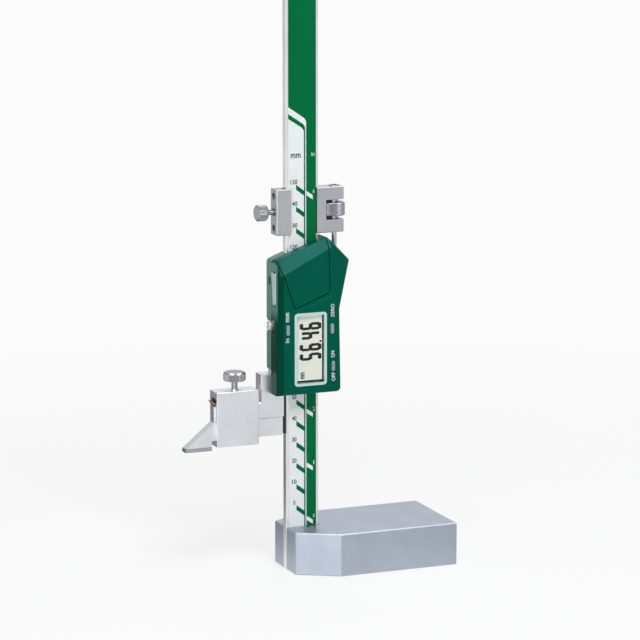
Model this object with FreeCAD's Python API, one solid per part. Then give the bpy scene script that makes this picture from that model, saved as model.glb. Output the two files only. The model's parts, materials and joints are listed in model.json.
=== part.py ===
import FreeCAD, Part
import math
import os

# Digital height gauge: a flat column on a ground base, a slider with a display unit,
# a fine adjustment carriage above it, and a scriber held under the slider's jaw.
# Millimetres. Origin: centre of the base's sole. +X along the base to the right,
# +Y to the back, +Z up the column. Heights named REL_ are above the scriber's measuring face.

Vec = FreeCAD.Vector

# Base
BASE_LENGTH = 77.0
BASE_WIDTH = 47.0
BASE_HEIGHT = 20.0
BASE_CORNER_LENGTH = 18.7
BASE_CORNER_WIDTH = 10.8
BASE_EDGE = 0.5
SLOT_CLEARANCE = 0.12
SLOT_RELIEF_RADIUS = 0.6

# Column and its scale
COLUMN_WIDTH = 16.0
COLUMN_THICKNESS = 4.0
COLUMN_TOP = 280.0
COLUMN_LIFT = 0.5
COLUMN_EDGE = 0.3
SCALE_WIDTH = 13.5
SCALE_STRIP_THICKNESS = 0.9
SCALE_LABEL_THICKNESS = 0.2
SCALE_RECESS = 0.1
SCALE_SIDE_GAP = 0.05
SCALE_BURIED_LENGTH = 1.0
SCALE_TOP_MARGIN = 12.0

# Screws that hold the column in the base, and the stop at its top
COLUMN_SCREW_RADIUS = 2.0
COLUMN_SCREW_LENGTH = 16.0
COLUMN_SCREW_HEAD_RADIUS = 3.5
COLUMN_SCREW_HEAD_HEIGHT = 4.0
COLUMN_SCREW_PITCH = 8.0
COLUMN_SCREW_HEIGHT = 10.0
COLUMN_SCREW_SEAT = 2.5
STOP_SCREW_RADIUS = 1.25
STOP_HEAD_RADIUS = 2.2
STOP_HEAD_HEIGHT = 1.6
STOP_TOP_MARGIN = 4.0

# General fits
SLIDE_FIT = 0.05
SCREW_FIT = 0.02
SEAT_GAP = 0.05
READING_HEIGHT = 59.7
SCREW_BACKOFF = 1.0
SOCKET_SHARE = 0.5

# Slider frame and jaw
READER_GAP = 0.15
SLIDER_THICKNESS = 7.15
GIB_THICKNESS = 1.0
GIB_END_GAP = 0.4
JAW_BLOCK_LEFT = 20.4
JAW_COLUMN_GAP = 1.25
REL_JAW_TOP = 33.5
REL_BAR_BOTTOM = 12.9
BAR_HEIGHT = 7.6
BAR_LENGTH = 23.1
BAR_THICKNESS = 5.0
JAW_EDGE = 0.35
GIB_SCREW_RADIUS = 1.25
REL_GIB_SCREWS = (41.0, 74.0)

# Display unit outline, as a half width and heights above the measuring face
UNIT_HALF_WIDTH = 15.5
UNIT_FOOT_OUT = 16.2
REL_UNIT_BOTTOM = 24.4
REL_UNIT_WAIST = 63.2
UNIT_POINT_OUT = 20.3
REL_UNIT_POINT = 85.7
UNIT_PEAK_OUT = 10.2
REL_UNIT_PEAK = 96.2
REL_UNIT_LEFT_TOP = 86.4
UNIT_FRONT_DEPTH = 8.4
UNIT_ROUNDING = 2.2
UNIT_POINT_ROUNDING = 1.0
UNIT_BEVEL_DOWN = 4.4
UNIT_BEVEL_BACK = 2.9
REL_BEVEL_FOOT_LEFT = 78.9
REL_BEVEL_FOOT_PEAK = 91.6
BEVEL_STRIP = 1.1
CASING_WALL = 1.4
CASING_CORNER = 1.6
REAR_CASING_WALL = 1.2
REAR_CASING_BACK = 3.2
REAR_CASING_GAP = 0.05
REL_REAR_CASING_LEFT_BOTTOM = 35.7

# Battery and its cover
COVER_THICKNESS = 1.3
COVER_GROOVE = 0.4
COVER_BOTTOM_LEFT = (-6.8, 64.8)
COVER_BOTTOM_RIGHT = (10.2, 71.4)
COVER_TOP_RIGHT_OUT = 9.4
COVER_TOP_LEFT_OUT = -15.0
COVER_CORNER = 0.8
CELL_RADIUS = 5.8
CELL_THICKNESS = 5.4
CELL_CENTRE = (-0.3, 78.3)
CELL_GAP = 0.2
CELL_RING_WALL = 1.0
CONTACT_THICKNESS = 0.2
CONTACT_WIDTH = 3.0

# Display, window and board
BEZEL_CENTRE_OUT = 0.75
BEZEL_WIDTH = 15.9
REL_BEZEL_BOTTOM = 28.5
BEZEL_HEIGHT = 34.0
BEZEL_CORNER = 1.6
BEZEL_RIM = 1.25
BEZEL_PROUD = 0.15
WINDOW_THICKNESS = 0.6
LCD_THICKNESS = 1.8
LCD_MARGIN = 0.7
CONNECTOR_WIDTH = 1.2
CONNECTOR_INSET = 1.0
CONNECTOR_END = 1.0
BOARD_THICKNESS = 1.0
BOARD_GAP = 0.4
CHIP_SIZE = 6.0
CHIP_HEIGHT = 1.0

# Buttons
BUTTON_WIDTH = 1.65
BUTTON_LENGTH = 4.9
BUTTON_PROUD = 0.5
BUTTON_GAP = 0.2
BUTTON_TRAVEL = 0.5
BUTTON_FLANGE_EXTRA = 0.6
BUTTON_FLANGE_THICKNESS = 0.6
BUTTON_STEM_RADIUS = 0.9
SWITCH_RADIUS = 2.0
SWITCH_HEIGHT = 0.9
SWITCH_GAP = 0.1
BUTTON_UNIT_AT = (-10.4, 55.1)
BUTTON_ZERO_AT = (11.4, 54.4)
BUTTON_POWER_AT = (11.9, 36.9)

# Data port and lock screw on the unit's left side
PORT_BOTTOM_REL = 65.7
PORT_LENGTH = 16.2
PORT_END = 2.0
PORT_DEPTH = 2.2
PORT_BEHIND_FRONT = 3.0
PORT_COVER_THICKNESS = 0.4
PORT_COVER_TOP_REL = 81.2
PORT_COVER_BOTTOM_REL = 66.4
PORT_COVER_WIDTH = 4.6
PORT_COVER_TIP_WIDTH = 3.2
PORT_COVER_EDGE = 2.1
PORT_PLUG_GAP = 0.15
SIDE_SLOT_BOTTOM_REL = 75.0
SIDE_SLOT_LENGTH = 3.6
SIDE_SLOT_FRONT = -1.7
SIDE_SLOT_WIDTH = 2.8
SIDE_SLOT_DEPTH = 3.5
LOCK_REL = 55.9
LOCK_SCREW_RADIUS = 1.5
LOCK_HEAD_RADIUS = 2.4
LOCK_HEAD_PROUD = 0.6
LOCK_PAD_LENGTH = 1.5
SCOOP_RADIUS = 6.5
SCOOP_DEPTH = 0.9
SCOOP_FRONT = 4.0

# Screws from the back that hold the casings
CASING_SCREW_RADIUS = 1.0
CASING_SCREW_HEAD_RADIUS = 1.9
CASING_SCREW_HEAD_HEIGHT = 1.2
CASING_SCREW_SINK = 1.4
CASING_SCREW_GRIP = 4.5
CASING_BOSS_RADIUS = 2.0
CASING_SCREWS_AT = ((-11.0, 62.8), (-11.0, 31.3), (11.0, 29.5), (12.6, 81.3))

# Fine adjustment carriage
CARRIAGE_LEFT = 13.2
CARRIAGE_RIGHT = 19.9
CARRIAGE_FRONT = 3.5
CARRIAGE_BACK = 4.0
REL_CARRIAGE_BOTTOM = 97.7
CARRIAGE_HEIGHT = 21.1
CARRIAGE_LIP_GAP = 0.1
CARRIAGE_LEFT_LIP = 2.0
CARRIAGE_RIGHT_LIP = 1.2
CARRIAGE_CORNER = 0.7
CARRIAGE_EDGE = 0.3
CARRIAGE_SCREW_SPREAD = 14.7
CARRIAGE_SCREW_RADIUS = 1.6
CARRIAGE_THUMB_RADIUS = 1.2
CARRIAGE_THUMB_COUNTERBORE = 1.9
CARRIAGE_THUMB_COUNTERBORE_DEPTH = 1.0
CARRIAGE_THUMB_NECK = 3.6
CARRIAGE_THUMB_HEAD_RADIUS = 3.8
CARRIAGE_THUMB_HEAD_LENGTH = 5.1
CARRIAGE_PAD_LENGTH = 1.2

# Fine adjustment screw and nut
FINE_SCREW_OUT = 16.6
FINE_SCREW_RADIUS = 1.2
FINE_SCREW_GRIP = 5.0
FINE_SCREW_HOLE_GAP = 0.4
REL_FINE_SCREW_TOP = 117.2
FINE_NUT_RADIUS = 4.9
FINE_NUT_HEIGHT = 6.0
FINE_NUT_HUB_RADIUS = 1.85
FINE_NUT_WINDOW = 9.2
FINE_NUT_WALL_GAP = 0.4
FINE_NUT_BACK_WALL = 0.9
FINE_NUT_BACK_MARGIN = 1.2
FINE_NUT_END_GAP = 0.05
BUSH_RADIUS = 2.0
BUSH_FLANGE_RADIUS = 2.5
BUSH_FLANGE_HEIGHT = 0.4

# Scriber, its clamp box and clamp screw
CLAMP_LENGTH = 20.5
CLAMP_JAW_GAP = 1.85
CLAMP_FRONT_WALL = 2.0
CLAMP_BACK_WALL = 2.3
CLAMP_TOP_WALL = 3.0
CLAMP_BOTTOM_WALL = 3.0
CLAMP_INNER_HEADROOM = 3.7
CLAMP_EDGE = 0.3
CLAMP_BOSS_RADIUS = 1.9
CLAMP_BOSS_HEIGHT = 0.35
CLAMP_PLATE_THICKNESS = 0.8
CLAMP_PLATE_END_GAP = 1.5
CLAMP_PLATE_OVERHANG = 1.6
CLAMP_PLATE_TURN_UP = 1.7
CLAMP_SCREW_RADIUS = 1.4
CLAMP_HEAD_RADIUS = 5.15
CLAMP_HEAD_RIM = 3.3
CLAMP_HEAD_BEVEL = 0.7
CLAMP_HEAD_CLEAR = 4.4
SCRIBER_HEIGHT = 8.3
SCRIBER_COLUMN_GAP = 1.8
SCRIBER_SLOPE_START = 43.6
SCRIBER_FOOT_START = 44.6
SCRIBER_TIP_OUT = 57.3
SCRIBER_TIP_BLUNT = 1.5
TIP_THICKNESS = 1.9
TIP_SLOPE_RUN = 0.5

# Places worked out from the sizes above
COLUMN_X = -BASE_LENGTH / 2 + COLUMN_WIDTH / 2
COLUMN_HALF = COLUMN_WIDTH / 2
COLUMN_FRONT = -COLUMN_THICKNESS / 2
COLUMN_BACK = COLUMN_THICKNESS / 2
SLIDER_FRONT = COLUMN_FRONT - READER_GAP
SLIDER_BACK = SLIDER_FRONT + SLIDER_THICKNESS
CHANNEL_LEFT = -(COLUMN_HALF + GIB_THICKNESS + 2 * SLIDE_FIT)
CHANNEL_RIGHT = COLUMN_HALF + SLIDE_FIT
CHANNEL_BACK = COLUMN_BACK + SLIDE_FIT
UNIT_FRONT = COLUMN_FRONT - UNIT_FRONT_DEPTH
UNIT_INNER_FRONT = UNIT_FRONT + CASING_WALL
BOARD_FRONT = SLIDER_FRONT - BOARD_THICKNESS
LCD_FRONT = UNIT_INNER_FRONT + SEAT_GAP
LCD_BACK = LCD_FRONT + LCD_THICKNESS
JAW_RIGHT = -(COLUMN_HALF + JAW_COLUMN_GAP)
BAR_END = -JAW_BLOCK_LEFT - BAR_LENGTH
BAR_BACK = SLIDER_FRONT + BAR_THICKNESS
REL_BAR_TOP = REL_BAR_BOTTOM + BAR_HEIGHT
FRAME_INSET = REAR_CASING_WALL + REAR_CASING_GAP
REL_CARRIAGE_MIDDLE = REL_CARRIAGE_BOTTOM + CARRIAGE_HEIGHT / 2
REL_CARRIAGE_TOP = REL_CARRIAGE_BOTTOM + CARRIAGE_HEIGHT
CLAMP_RIGHT = -JAW_BLOCK_LEFT - CLAMP_JAW_GAP
CLAMP_LEFT = CLAMP_RIGHT - CLAMP_LENGTH
CLAMP_CENTRE = (CLAMP_LEFT + CLAMP_RIGHT) / 2
REL_SCRIBER_BOTTOM = REL_BAR_BOTTOM - SCRIBER_HEIGHT
REL_CLAMP_BOTTOM = REL_SCRIBER_BOTTOM - CLAMP_BOTTOM_WALL
REL_CLAMP_CEILING = REL_BAR_TOP + CLAMP_INNER_HEADROOM
REL_CLAMP_TOP = REL_CLAMP_CEILING + CLAMP_TOP_WALL
CLAMP_FRONT = SLIDER_FRONT - SLIDE_FIT - CLAMP_FRONT_WALL
CLAMP_BACK = BAR_BACK + SLIDE_FIT + CLAMP_BACK_WALL
BAR_MIDDLE = (SLIDER_FRONT + BAR_BACK) / 2

PARTS = {}


def sized_box(x0, x1, y0, y1, z0, z1):
    return Part.makeBox(x1 - x0, y1 - y0, z1 - z0, Vec(x0, y0, z0))


def slider_box(u0, u1, y0, y1, rel0, rel1):
    """A box in the slider's own terms: out from the column's middle, and up from the measuring face."""
    low = READING_HEIGHT
    return sized_box(COLUMN_X + u0, COLUMN_X + u1, y0, y1, low + rel0, low + rel1)


def rod(x, y, z, radius, length, direction):
    return Part.makeCylinder(radius, length, Vec(x, y, z), Vec(*direction))


def prism_along_y(points, y0, y1):
    """Solid from an outline of (x, z) points, from y0 to y1."""
    corners = [Vec(x, y0, z) for x, z in points]
    face = Part.Face(Part.makePolygon(corners + corners[:1]))
    return face.extrude(Vec(0, y1 - y0, 0))


def slider_prism(points, y0, y1):
    """The same, from points given out from the column and up from the measuring face."""
    return prism_along_y([(COLUMN_X + u, READING_HEIGHT + rel) for u, rel in points], y0, y1)


def inset(points, depth):
    """Outline with every side moved inwards by depth. The points run anticlockwise."""
    sides = []
    for (ax, az), (bx, bz) in zip(points, points[1:] + points[:1]):
        length = math.hypot(bx - ax, bz - az)
        dx, dz = (bx - ax) / length, (bz - az) / length
        sides.append((ax - dz * depth, az + dx * depth, dx, dz))
    moved = []
    for before, after in zip(sides[-1:] + sides[:-1], sides):
        ax, az, adx, adz = before
        bx, bz, bdx, bdz = after
        cross = adx * bdz - adz * bdx
        reach = ((bx - ax) * bdz - (bz - az) * bdx) / cross
        moved.append((ax + adx * reach, az + adz * reach))
    return moved


def rounded_slot(u, rel, width, length, y0, y1):
    """Upright slot shape with round ends, centred at u and rel."""
    straight = length - width
    body = slider_box(u - width / 2, u + width / 2, y0, y1, rel - straight / 2, rel + straight / 2)
    ends = [rod(COLUMN_X + u, y0, READING_HEIGHT + rel + side * straight / 2, width / 2, y1 - y0, (0, 1, 0))
            for side in (-1, 1)]
    return body.fuse(ends).removeSplitter()


def edges_along(shape, direction, keep):
    """Straight edges parallel to direction whose middle passes keep."""
    found = []
    for edge in shape.Edges:
        if len(edge.Vertexes) < 2:
            continue
        run = edge.Vertexes[1].Point - edge.Vertexes[0].Point
        if run.Length > 1e-6 and abs(abs(run.normalize().dot(Vec(*direction))) - 1) < 1e-6:
            if keep(edge.CenterOfMass):
                found.append(edge)
    return found


def along_side(shape, edge_size):
    """Breaks every edge of a plain block."""
    return shape.makeChamfer(edge_size, shape.Edges)


def unit_outline():
    return [(-UNIT_HALF_WIDTH, REL_UNIT_BOTTOM), (UNIT_FOOT_OUT, REL_UNIT_BOTTOM),
            (UNIT_HALF_WIDTH, REL_UNIT_WAIST), (UNIT_POINT_OUT, REL_UNIT_POINT),
            (UNIT_PEAK_OUT, REL_UNIT_PEAK), (-UNIT_HALF_WIDTH, REL_UNIT_LEFT_TOP)]


def top_height(u, depth):
    """Height of the display unit's left top slope at u, moved inwards by depth."""
    rise = (REL_UNIT_PEAK - REL_UNIT_LEFT_TOP) / (UNIT_PEAK_OUT + UNIT_HALF_WIDTH)
    return REL_UNIT_LEFT_TOP + rise * (u + UNIT_HALF_WIDTH) - depth * math.hypot(1, rise)


def right_height(u, depth):
    """Height of the display unit's right top slope at u, moved inwards by depth."""
    fall = (REL_UNIT_PEAK - REL_UNIT_POINT) / (UNIT_POINT_OUT - UNIT_PEAK_OUT)
    return REL_UNIT_PEAK - fall * (u - UNIT_PEAK_OUT) - depth * math.hypot(1, fall)


def make_base():
    half_length, half_width = BASE_LENGTH / 2, BASE_WIDTH / 2
    corner = half_width - BASE_CORNER_WIDTH
    outline = [(-half_length, -corner), (-half_length + BASE_CORNER_LENGTH, -half_width),
               (half_length, -half_width), (half_length, half_width),
               (-half_length + BASE_CORNER_LENGTH, half_width), (-half_length, corner)]
    corners = [Vec(x, y, 0) for x, y in outline]
    block = Part.Face(Part.makePolygon(corners + corners[:1])).extrude(Vec(0, 0, BASE_HEIGHT))
    block = along_side(block, BASE_EDGE)
    slot_end = COLUMN_X + COLUMN_HALF + SLOT_CLEARANCE
    slot_half = COLUMN_THICKNESS / 2 + SLOT_CLEARANCE
    cuts = [sized_box(-half_length - 1, slot_end, -slot_half, slot_half, -1, BASE_HEIGHT + 1)]
    for side in (-1, 1):
        cuts.append(rod(slot_end, side * slot_half, -1, SLOT_RELIEF_RADIUS, BASE_HEIGHT + 2, (0, 0, 1)))
    seat = COLUMN_BACK + COLUMN_SCREW_SEAT
    for x in column_screw_places():
        tip = seat - COLUMN_SCREW_LENGTH
        cuts.append(rod(x, tip, COLUMN_SCREW_HEIGHT, COLUMN_SCREW_RADIUS + SCREW_FIT,
                        COLUMN_SCREW_LENGTH, (0, 1, 0)))
        cuts.append(rod(x, seat, COLUMN_SCREW_HEIGHT, COLUMN_SCREW_HEAD_RADIUS + COLUMN_EDGE,
                        BASE_WIDTH, (0, 1, 0)))
    PARTS["base"] = block.cut(cuts)


def column_screw_places():
    return [COLUMN_X - COLUMN_SCREW_PITCH / 2, COLUMN_X + COLUMN_SCREW_PITCH / 2]


def socket_screw(x, y, z, radius, length, head_radius, head_height):
    """Screw along Y with its head towards +Y and a hexagon socket in it."""
    body = rod(x, y - length, z, radius, length + head_height, (0, 1, 0))
    head = rod(x, y, z, head_radius, head_height, (0, 1, 0))
    across = head_radius * SOCKET_SHARE
    corners = [Vec(x + across * math.cos(math.radians(60 * i)), y + head_height * SOCKET_SHARE,
                   z + across * math.sin(math.radians(60 * i))) for i in range(6)]
    socket = Part.Face(Part.makePolygon(corners + corners[:1])).extrude(Vec(0, head_height, 0))
    return body.fuse(head).removeSplitter().cut(socket)


def make_column():
    low = COLUMN_LIFT
    bar = sized_box(COLUMN_X - COLUMN_HALF, COLUMN_X + COLUMN_HALF, COLUMN_FRONT, COLUMN_BACK,
                    low, COLUMN_TOP)
    bar = bar.makeChamfer(COLUMN_EDGE, bar.Edges)
    scale_bottom = BASE_HEIGHT - SCALE_BURIED_LENGTH
    scale_top = COLUMN_TOP - SCALE_TOP_MARGIN
    half = SCALE_WIDTH / 2
    label_front = COLUMN_FRONT + SCALE_RECESS
    label_back = label_front + SCALE_LABEL_THICKNESS
    strip_back = label_back + SCALE_STRIP_THICKNESS
    gap = SCALE_SIDE_GAP
    channel = sized_box(COLUMN_X - half - gap, COLUMN_X + half + gap, COLUMN_FRONT - 1, strip_back,
                        scale_bottom - gap, scale_top + gap)
    cuts = [channel]
    for x in column_screw_places():
        cuts.append(rod(x, COLUMN_FRONT - 1, COLUMN_SCREW_HEIGHT, COLUMN_SCREW_RADIUS + SLOT_CLEARANCE,
                        COLUMN_THICKNESS + 2, (0, 1, 0)))
    stop_height = COLUMN_TOP - STOP_TOP_MARGIN
    cuts.append(rod(COLUMN_X, COLUMN_FRONT - 1, stop_height, STOP_SCREW_RADIUS + SCREW_FIT,
                    COLUMN_THICKNESS + 2, (0, 1, 0)))
    PARTS["column"] = bar.cut(cuts)
    PARTS["scale_strip"] = sized_box(COLUMN_X - half, COLUMN_X + half, label_back, strip_back,
                                     scale_bottom, scale_top)
    PARTS["scale_label"] = sized_box(COLUMN_X - half, COLUMN_X + half, label_front, label_back,
                                     scale_bottom, scale_top)
    seat = COLUMN_BACK + COLUMN_SCREW_SEAT
    screws = [socket_screw(x, seat, COLUMN_SCREW_HEIGHT, COLUMN_SCREW_RADIUS,
                           COLUMN_SCREW_LENGTH - COLUMN_EDGE, COLUMN_SCREW_HEAD_RADIUS,
                           COLUMN_SCREW_HEAD_HEIGHT) for x in column_screw_places()]
    PARTS["column_screws"] = Part.Compound(screws)
    PARTS["stop_screw"] = socket_screw(COLUMN_X, COLUMN_BACK, stop_height, STOP_SCREW_RADIUS,
                                       COLUMN_THICKNESS - COLUMN_EDGE, STOP_HEAD_RADIUS, STOP_HEAD_HEIGHT)


def make_slider_frame():
    """Steel plate behind and beside the column, with the jaw and its bar on the left."""
    plate = slider_prism(inset(unit_outline(), FRAME_INSET), SLIDER_FRONT, SLIDER_BACK)
    back_edges = [e for e in plate.Edges if abs(e.CenterOfMass.y - SLIDER_BACK) < 1e-6]
    plate = plate.makeChamfer(JAW_EDGE, back_edges)
    jaw_points = [(BAR_END, REL_BAR_BOTTOM), (JAW_RIGHT, REL_BAR_BOTTOM), (JAW_RIGHT, REL_JAW_TOP),
                  (-JAW_BLOCK_LEFT, REL_JAW_TOP), (-JAW_BLOCK_LEFT, REL_BAR_TOP), (BAR_END, REL_BAR_TOP)]
    jaw = slider_prism(jaw_points, SLIDER_FRONT, BAR_BACK)
    corner_x = COLUMN_X - JAW_BLOCK_LEFT
    inner = edges_along(jaw, (0, 1, 0), lambda c: abs(c.x - corner_x) < 0.01
                        and abs(c.z - READING_HEIGHT - REL_BAR_TOP) < 0.01)
    jaw = jaw.makeFillet(JAW_COLUMN_GAP, inner)
    front_edges = [e for e in jaw.Edges if abs(e.CenterOfMass.y - SLIDER_FRONT) < 1e-6
                   and e.CenterOfMass.x < COLUMN_X + JAW_RIGHT - 0.01]
    jaw = jaw.makeChamfer(JAW_EDGE, front_edges)
    heel = slider_box(-JAW_BLOCK_LEFT, JAW_RIGHT, BAR_BACK, SLIDER_BACK, REL_BAR_BOTTOM, REL_JAW_TOP)
    heel_back = [e for e in heel.Edges if abs(e.CenterOfMass.y - SLIDER_BACK) < 1e-6
                 and e.CenterOfMass.z < READING_HEIGHT + REL_JAW_TOP]
    heel = heel.makeChamfer(JAW_EDGE, heel_back)
    frame = plate.fuse([jaw, heel]).removeSplitter()
    cuts = [slider_box(CHANNEL_LEFT, CHANNEL_RIGHT, SLIDER_FRONT - 1, CHANNEL_BACK,
                       REL_UNIT_BOTTOM - 1, REL_UNIT_PEAK + 1)]
    side = COLUMN_X - UNIT_HALF_WIDTH
    across = UNIT_HALF_WIDTH + CHANNEL_LEFT + SLIDE_FIT
    for rel in REL_GIB_SCREWS:
        cuts.append(rod(side, 0, READING_HEIGHT + rel, GIB_SCREW_RADIUS + SCREW_FIT, across, (1, 0, 0)))
    cuts.append(rod(side, 0, READING_HEIGHT + LOCK_REL, LOCK_SCREW_RADIUS + SCREW_FIT, across, (1, 0, 0)))
    for u, rel in CASING_SCREWS_AT:
        x, z = COLUMN_X + u, READING_HEIGHT + rel
        cuts.append(rod(x, SLIDER_FRONT - 1, z, CASING_SCREW_RADIUS + SLIDE_FIT, SLIDER_THICKNESS + 2,
                        (0, 1, 0)))
        cuts.append(rod(x, SLIDER_BACK - CASING_SCREW_SINK, z, CASING_SCREW_HEAD_RADIUS + SEAT_GAP,
                        CASING_SCREW_SINK + 1, (0, 1, 0)))
    bore_top = right_height(FINE_SCREW_OUT, 0)
    bore_bottom = right_height(FINE_SCREW_OUT, FRAME_INSET) - FINE_SCREW_GRIP
    cuts.append(rod(COLUMN_X + FINE_SCREW_OUT, 0, READING_HEIGHT + bore_bottom,
                    FINE_SCREW_RADIUS + SCREW_FIT, bore_top - bore_bottom, (0, 0, 1)))
    cuts.append(side_slot())
    PARTS["slider_frame"] = frame.cut(cuts)


def gib_strip(bottom, top):
    left = CHANNEL_LEFT + SLIDE_FIT
    return slider_box(left, left + GIB_THICKNESS, COLUMN_FRONT + SLIDE_FIT, COLUMN_BACK - SLIDE_FIT,
                      bottom, top)


def grub_screw(rel, radius, outer, z_spread=0.0):
    """Slotted screw along X whose inner end bears on the gib. outer is its outer end."""
    inner = CHANNEL_LEFT + SLIDE_FIT
    length = inner - outer
    z = READING_HEIGHT + rel + z_spread
    body = rod(COLUMN_X + outer, 0, z, radius, length, (1, 0, 0))
    slot_depth = radius * SOCKET_SHARE
    slot_half = radius * SOCKET_SHARE / 2
    slot = sized_box(COLUMN_X + outer - 1, COLUMN_X + outer + slot_depth, -radius, radius,
                     z - slot_half, z + slot_half)
    return body.cut(slot)


def make_slider_gib():
    top = top_height(CHANNEL_LEFT, FRAME_INSET) - GIB_END_GAP
    bottom = REL_SCRIBER_BOTTOM + GIB_END_GAP
    PARTS["slider_gib"] = gib_strip(bottom, top)
    outer = -(UNIT_HALF_WIDTH - FRAME_INSET - GIB_END_GAP)
    screws = [grub_screw(rel, GIB_SCREW_RADIUS, outer) for rel in REL_GIB_SCREWS]
    PARTS["slider_gib_screws"] = Part.Compound(screws)


def side_slot():
    """Small blind slot in the left side, through the rear casing into the steel plate."""
    return slider_box(-UNIT_HALF_WIDTH - 1, -UNIT_HALF_WIDTH + SIDE_SLOT_DEPTH, SIDE_SLOT_FRONT,
                      SIDE_SLOT_FRONT + SIDE_SLOT_WIDTH, SIDE_SLOT_BOTTOM_REL,
                      SIDE_SLOT_BOTTOM_REL + SIDE_SLOT_LENGTH)


def scoop(y0, y1):
    """Finger hollow beside the lock screw, cut along Y."""
    x = COLUMN_X - UNIT_HALF_WIDTH - (SCOOP_RADIUS - SCOOP_DEPTH)
    return rod(x, y0, READING_HEIGHT + LOCK_REL, SCOOP_RADIUS, y1 - y0, (0, 1, 0))


def make_rear_casing():
    """Plastic skirt round the steel plate, open for the column and the jaw."""
    outline = unit_outline()
    outer = slider_prism(outline, SLIDER_FRONT, REAR_CASING_BACK)
    outer = round_outline_corners(outer)
    inner = slider_prism(inset(outline, REAR_CASING_WALL), SLIDER_FRONT - 1, REAR_CASING_BACK + 1)
    cuts = [inner]
    cuts.append(slider_box(-COLUMN_HALF - SEAT_GAP, COLUMN_HALF + SEAT_GAP, SLIDER_FRONT - 1,
                           CHANNEL_BACK, REL_UNIT_BOTTOM - 1, REL_UNIT_PEAK + 1))
    cuts.append(slider_box(-JAW_BLOCK_LEFT, JAW_RIGHT + JAW_COLUMN_GAP, SLIDER_FRONT - 1,
                           REAR_CASING_BACK + 1, REL_UNIT_BOTTOM - 1, REL_REAR_CASING_LEFT_BOTTOM))
    cuts.append(scoop(SLIDER_FRONT - 1, REAR_CASING_BACK + 1))
    cuts.append(rod(COLUMN_X - UNIT_HALF_WIDTH - 1, 0, READING_HEIGHT + LOCK_REL,
                    LOCK_HEAD_RADIUS + SCREW_BACKOFF / 4, REAR_CASING_WALL + 2, (1, 0, 0)))
    cuts.append(side_slot())
    hole = FINE_SCREW_RADIUS + FINE_SCREW_HOLE_GAP
    bottom = right_height(FINE_SCREW_OUT, FRAME_INSET) - hole * 2
    cuts.append(rod(COLUMN_X + FINE_SCREW_OUT, 0, READING_HEIGHT + bottom, hole,
                    REL_UNIT_PEAK - bottom, (0, 0, 1)))
    PARTS["rear_casing"] = outer.cut(cuts)


def round_outline_corners(solid):
    """Rounds the unit's lower right and upper left corners, and less so its right point."""
    def corner(solid, places, radius):
        def near(centre):
            return any(math.hypot(centre.x - COLUMN_X - u, centre.z - READING_HEIGHT - rel) < 0.01
                       for u, rel in places)
        return solid.makeFillet(radius, edges_along(solid, (0, 1, 0), near))
    solid = corner(solid, [(UNIT_FOOT_OUT, REL_UNIT_BOTTOM), (-UNIT_HALF_WIDTH, REL_UNIT_LEFT_TOP)],
                   UNIT_ROUNDING)
    return corner(solid, [(UNIT_POINT_OUT, REL_UNIT_POINT)], UNIT_POINT_ROUNDING)


def unit_block():
    """Outer form of the front casing with rounded front edges, before its top is bevelled."""
    body = slider_prism(unit_outline(), UNIT_FRONT, SLIDER_FRONT)
    body = round_outline_corners(body)
    front = [e for e in body.Edges if abs(e.CenterOfMass.y - UNIT_FRONT) < 1e-6]
    return body.makeFillet(UNIT_ROUNDING - JAW_EDGE, front)


def bevel_foot(u):
    """Height at u of the line where the top's bevel leaves the flat front."""
    rise = (REL_BEVEL_FOOT_PEAK - REL_BEVEL_FOOT_LEFT) / (UNIT_PEAK_OUT + UNIT_HALF_WIDTH)
    return REL_BEVEL_FOOT_LEFT + rise * (u + UNIT_HALF_WIDTH)


def bevel_wedge():
    """What the broad bevel along the top takes off, over more than the unit's width."""
    reach = 2
    ends = []
    for u in (-UNIT_POINT_OUT, UNIT_POINT_OUT):
        x, foot = COLUMN_X + u, READING_HEIGHT + bevel_foot(u)
        low = Vec(x, UNIT_FRONT - UNIT_BEVEL_BACK, foot - UNIT_BEVEL_DOWN)
        tip = Vec(x, UNIT_FRONT + reach * UNIT_BEVEL_BACK, foot + reach * UNIT_BEVEL_DOWN)
        ends.append(Part.makePolygon([low, tip, Vec(x, low.y, tip.z), low]))
    return Part.makeLoft(ends, True, True)


def cover_outline(grow):
    """Battery cover's outline, anticlockwise, grown by a groove width. Its top runs past the unit."""
    over = UNIT_ROUNDING
    points = [COVER_BOTTOM_LEFT, COVER_BOTTOM_RIGHT,
              (COVER_TOP_RIGHT_OUT, top_height(COVER_TOP_RIGHT_OUT, 0) + over),
              (COVER_TOP_LEFT_OUT, top_height(COVER_TOP_LEFT_OUT, 0) + over)]
    return inset(points, -grow)


def cover_prism(grow):
    shape = slider_prism(cover_outline(grow), UNIT_FRONT - 1, UNIT_FRONT + CELL_THICKNESS)
    bottom = [p for p in cover_outline(grow)[:2]]

    def near(centre):
        return any(math.hypot(centre.x - COLUMN_X - u, centre.z - READING_HEIGHT - rel) < 0.01
                   for u, rel in bottom)
    return shape.makeFillet(COVER_CORNER + grow, edges_along(shape, (0, 1, 0), near))


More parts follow.
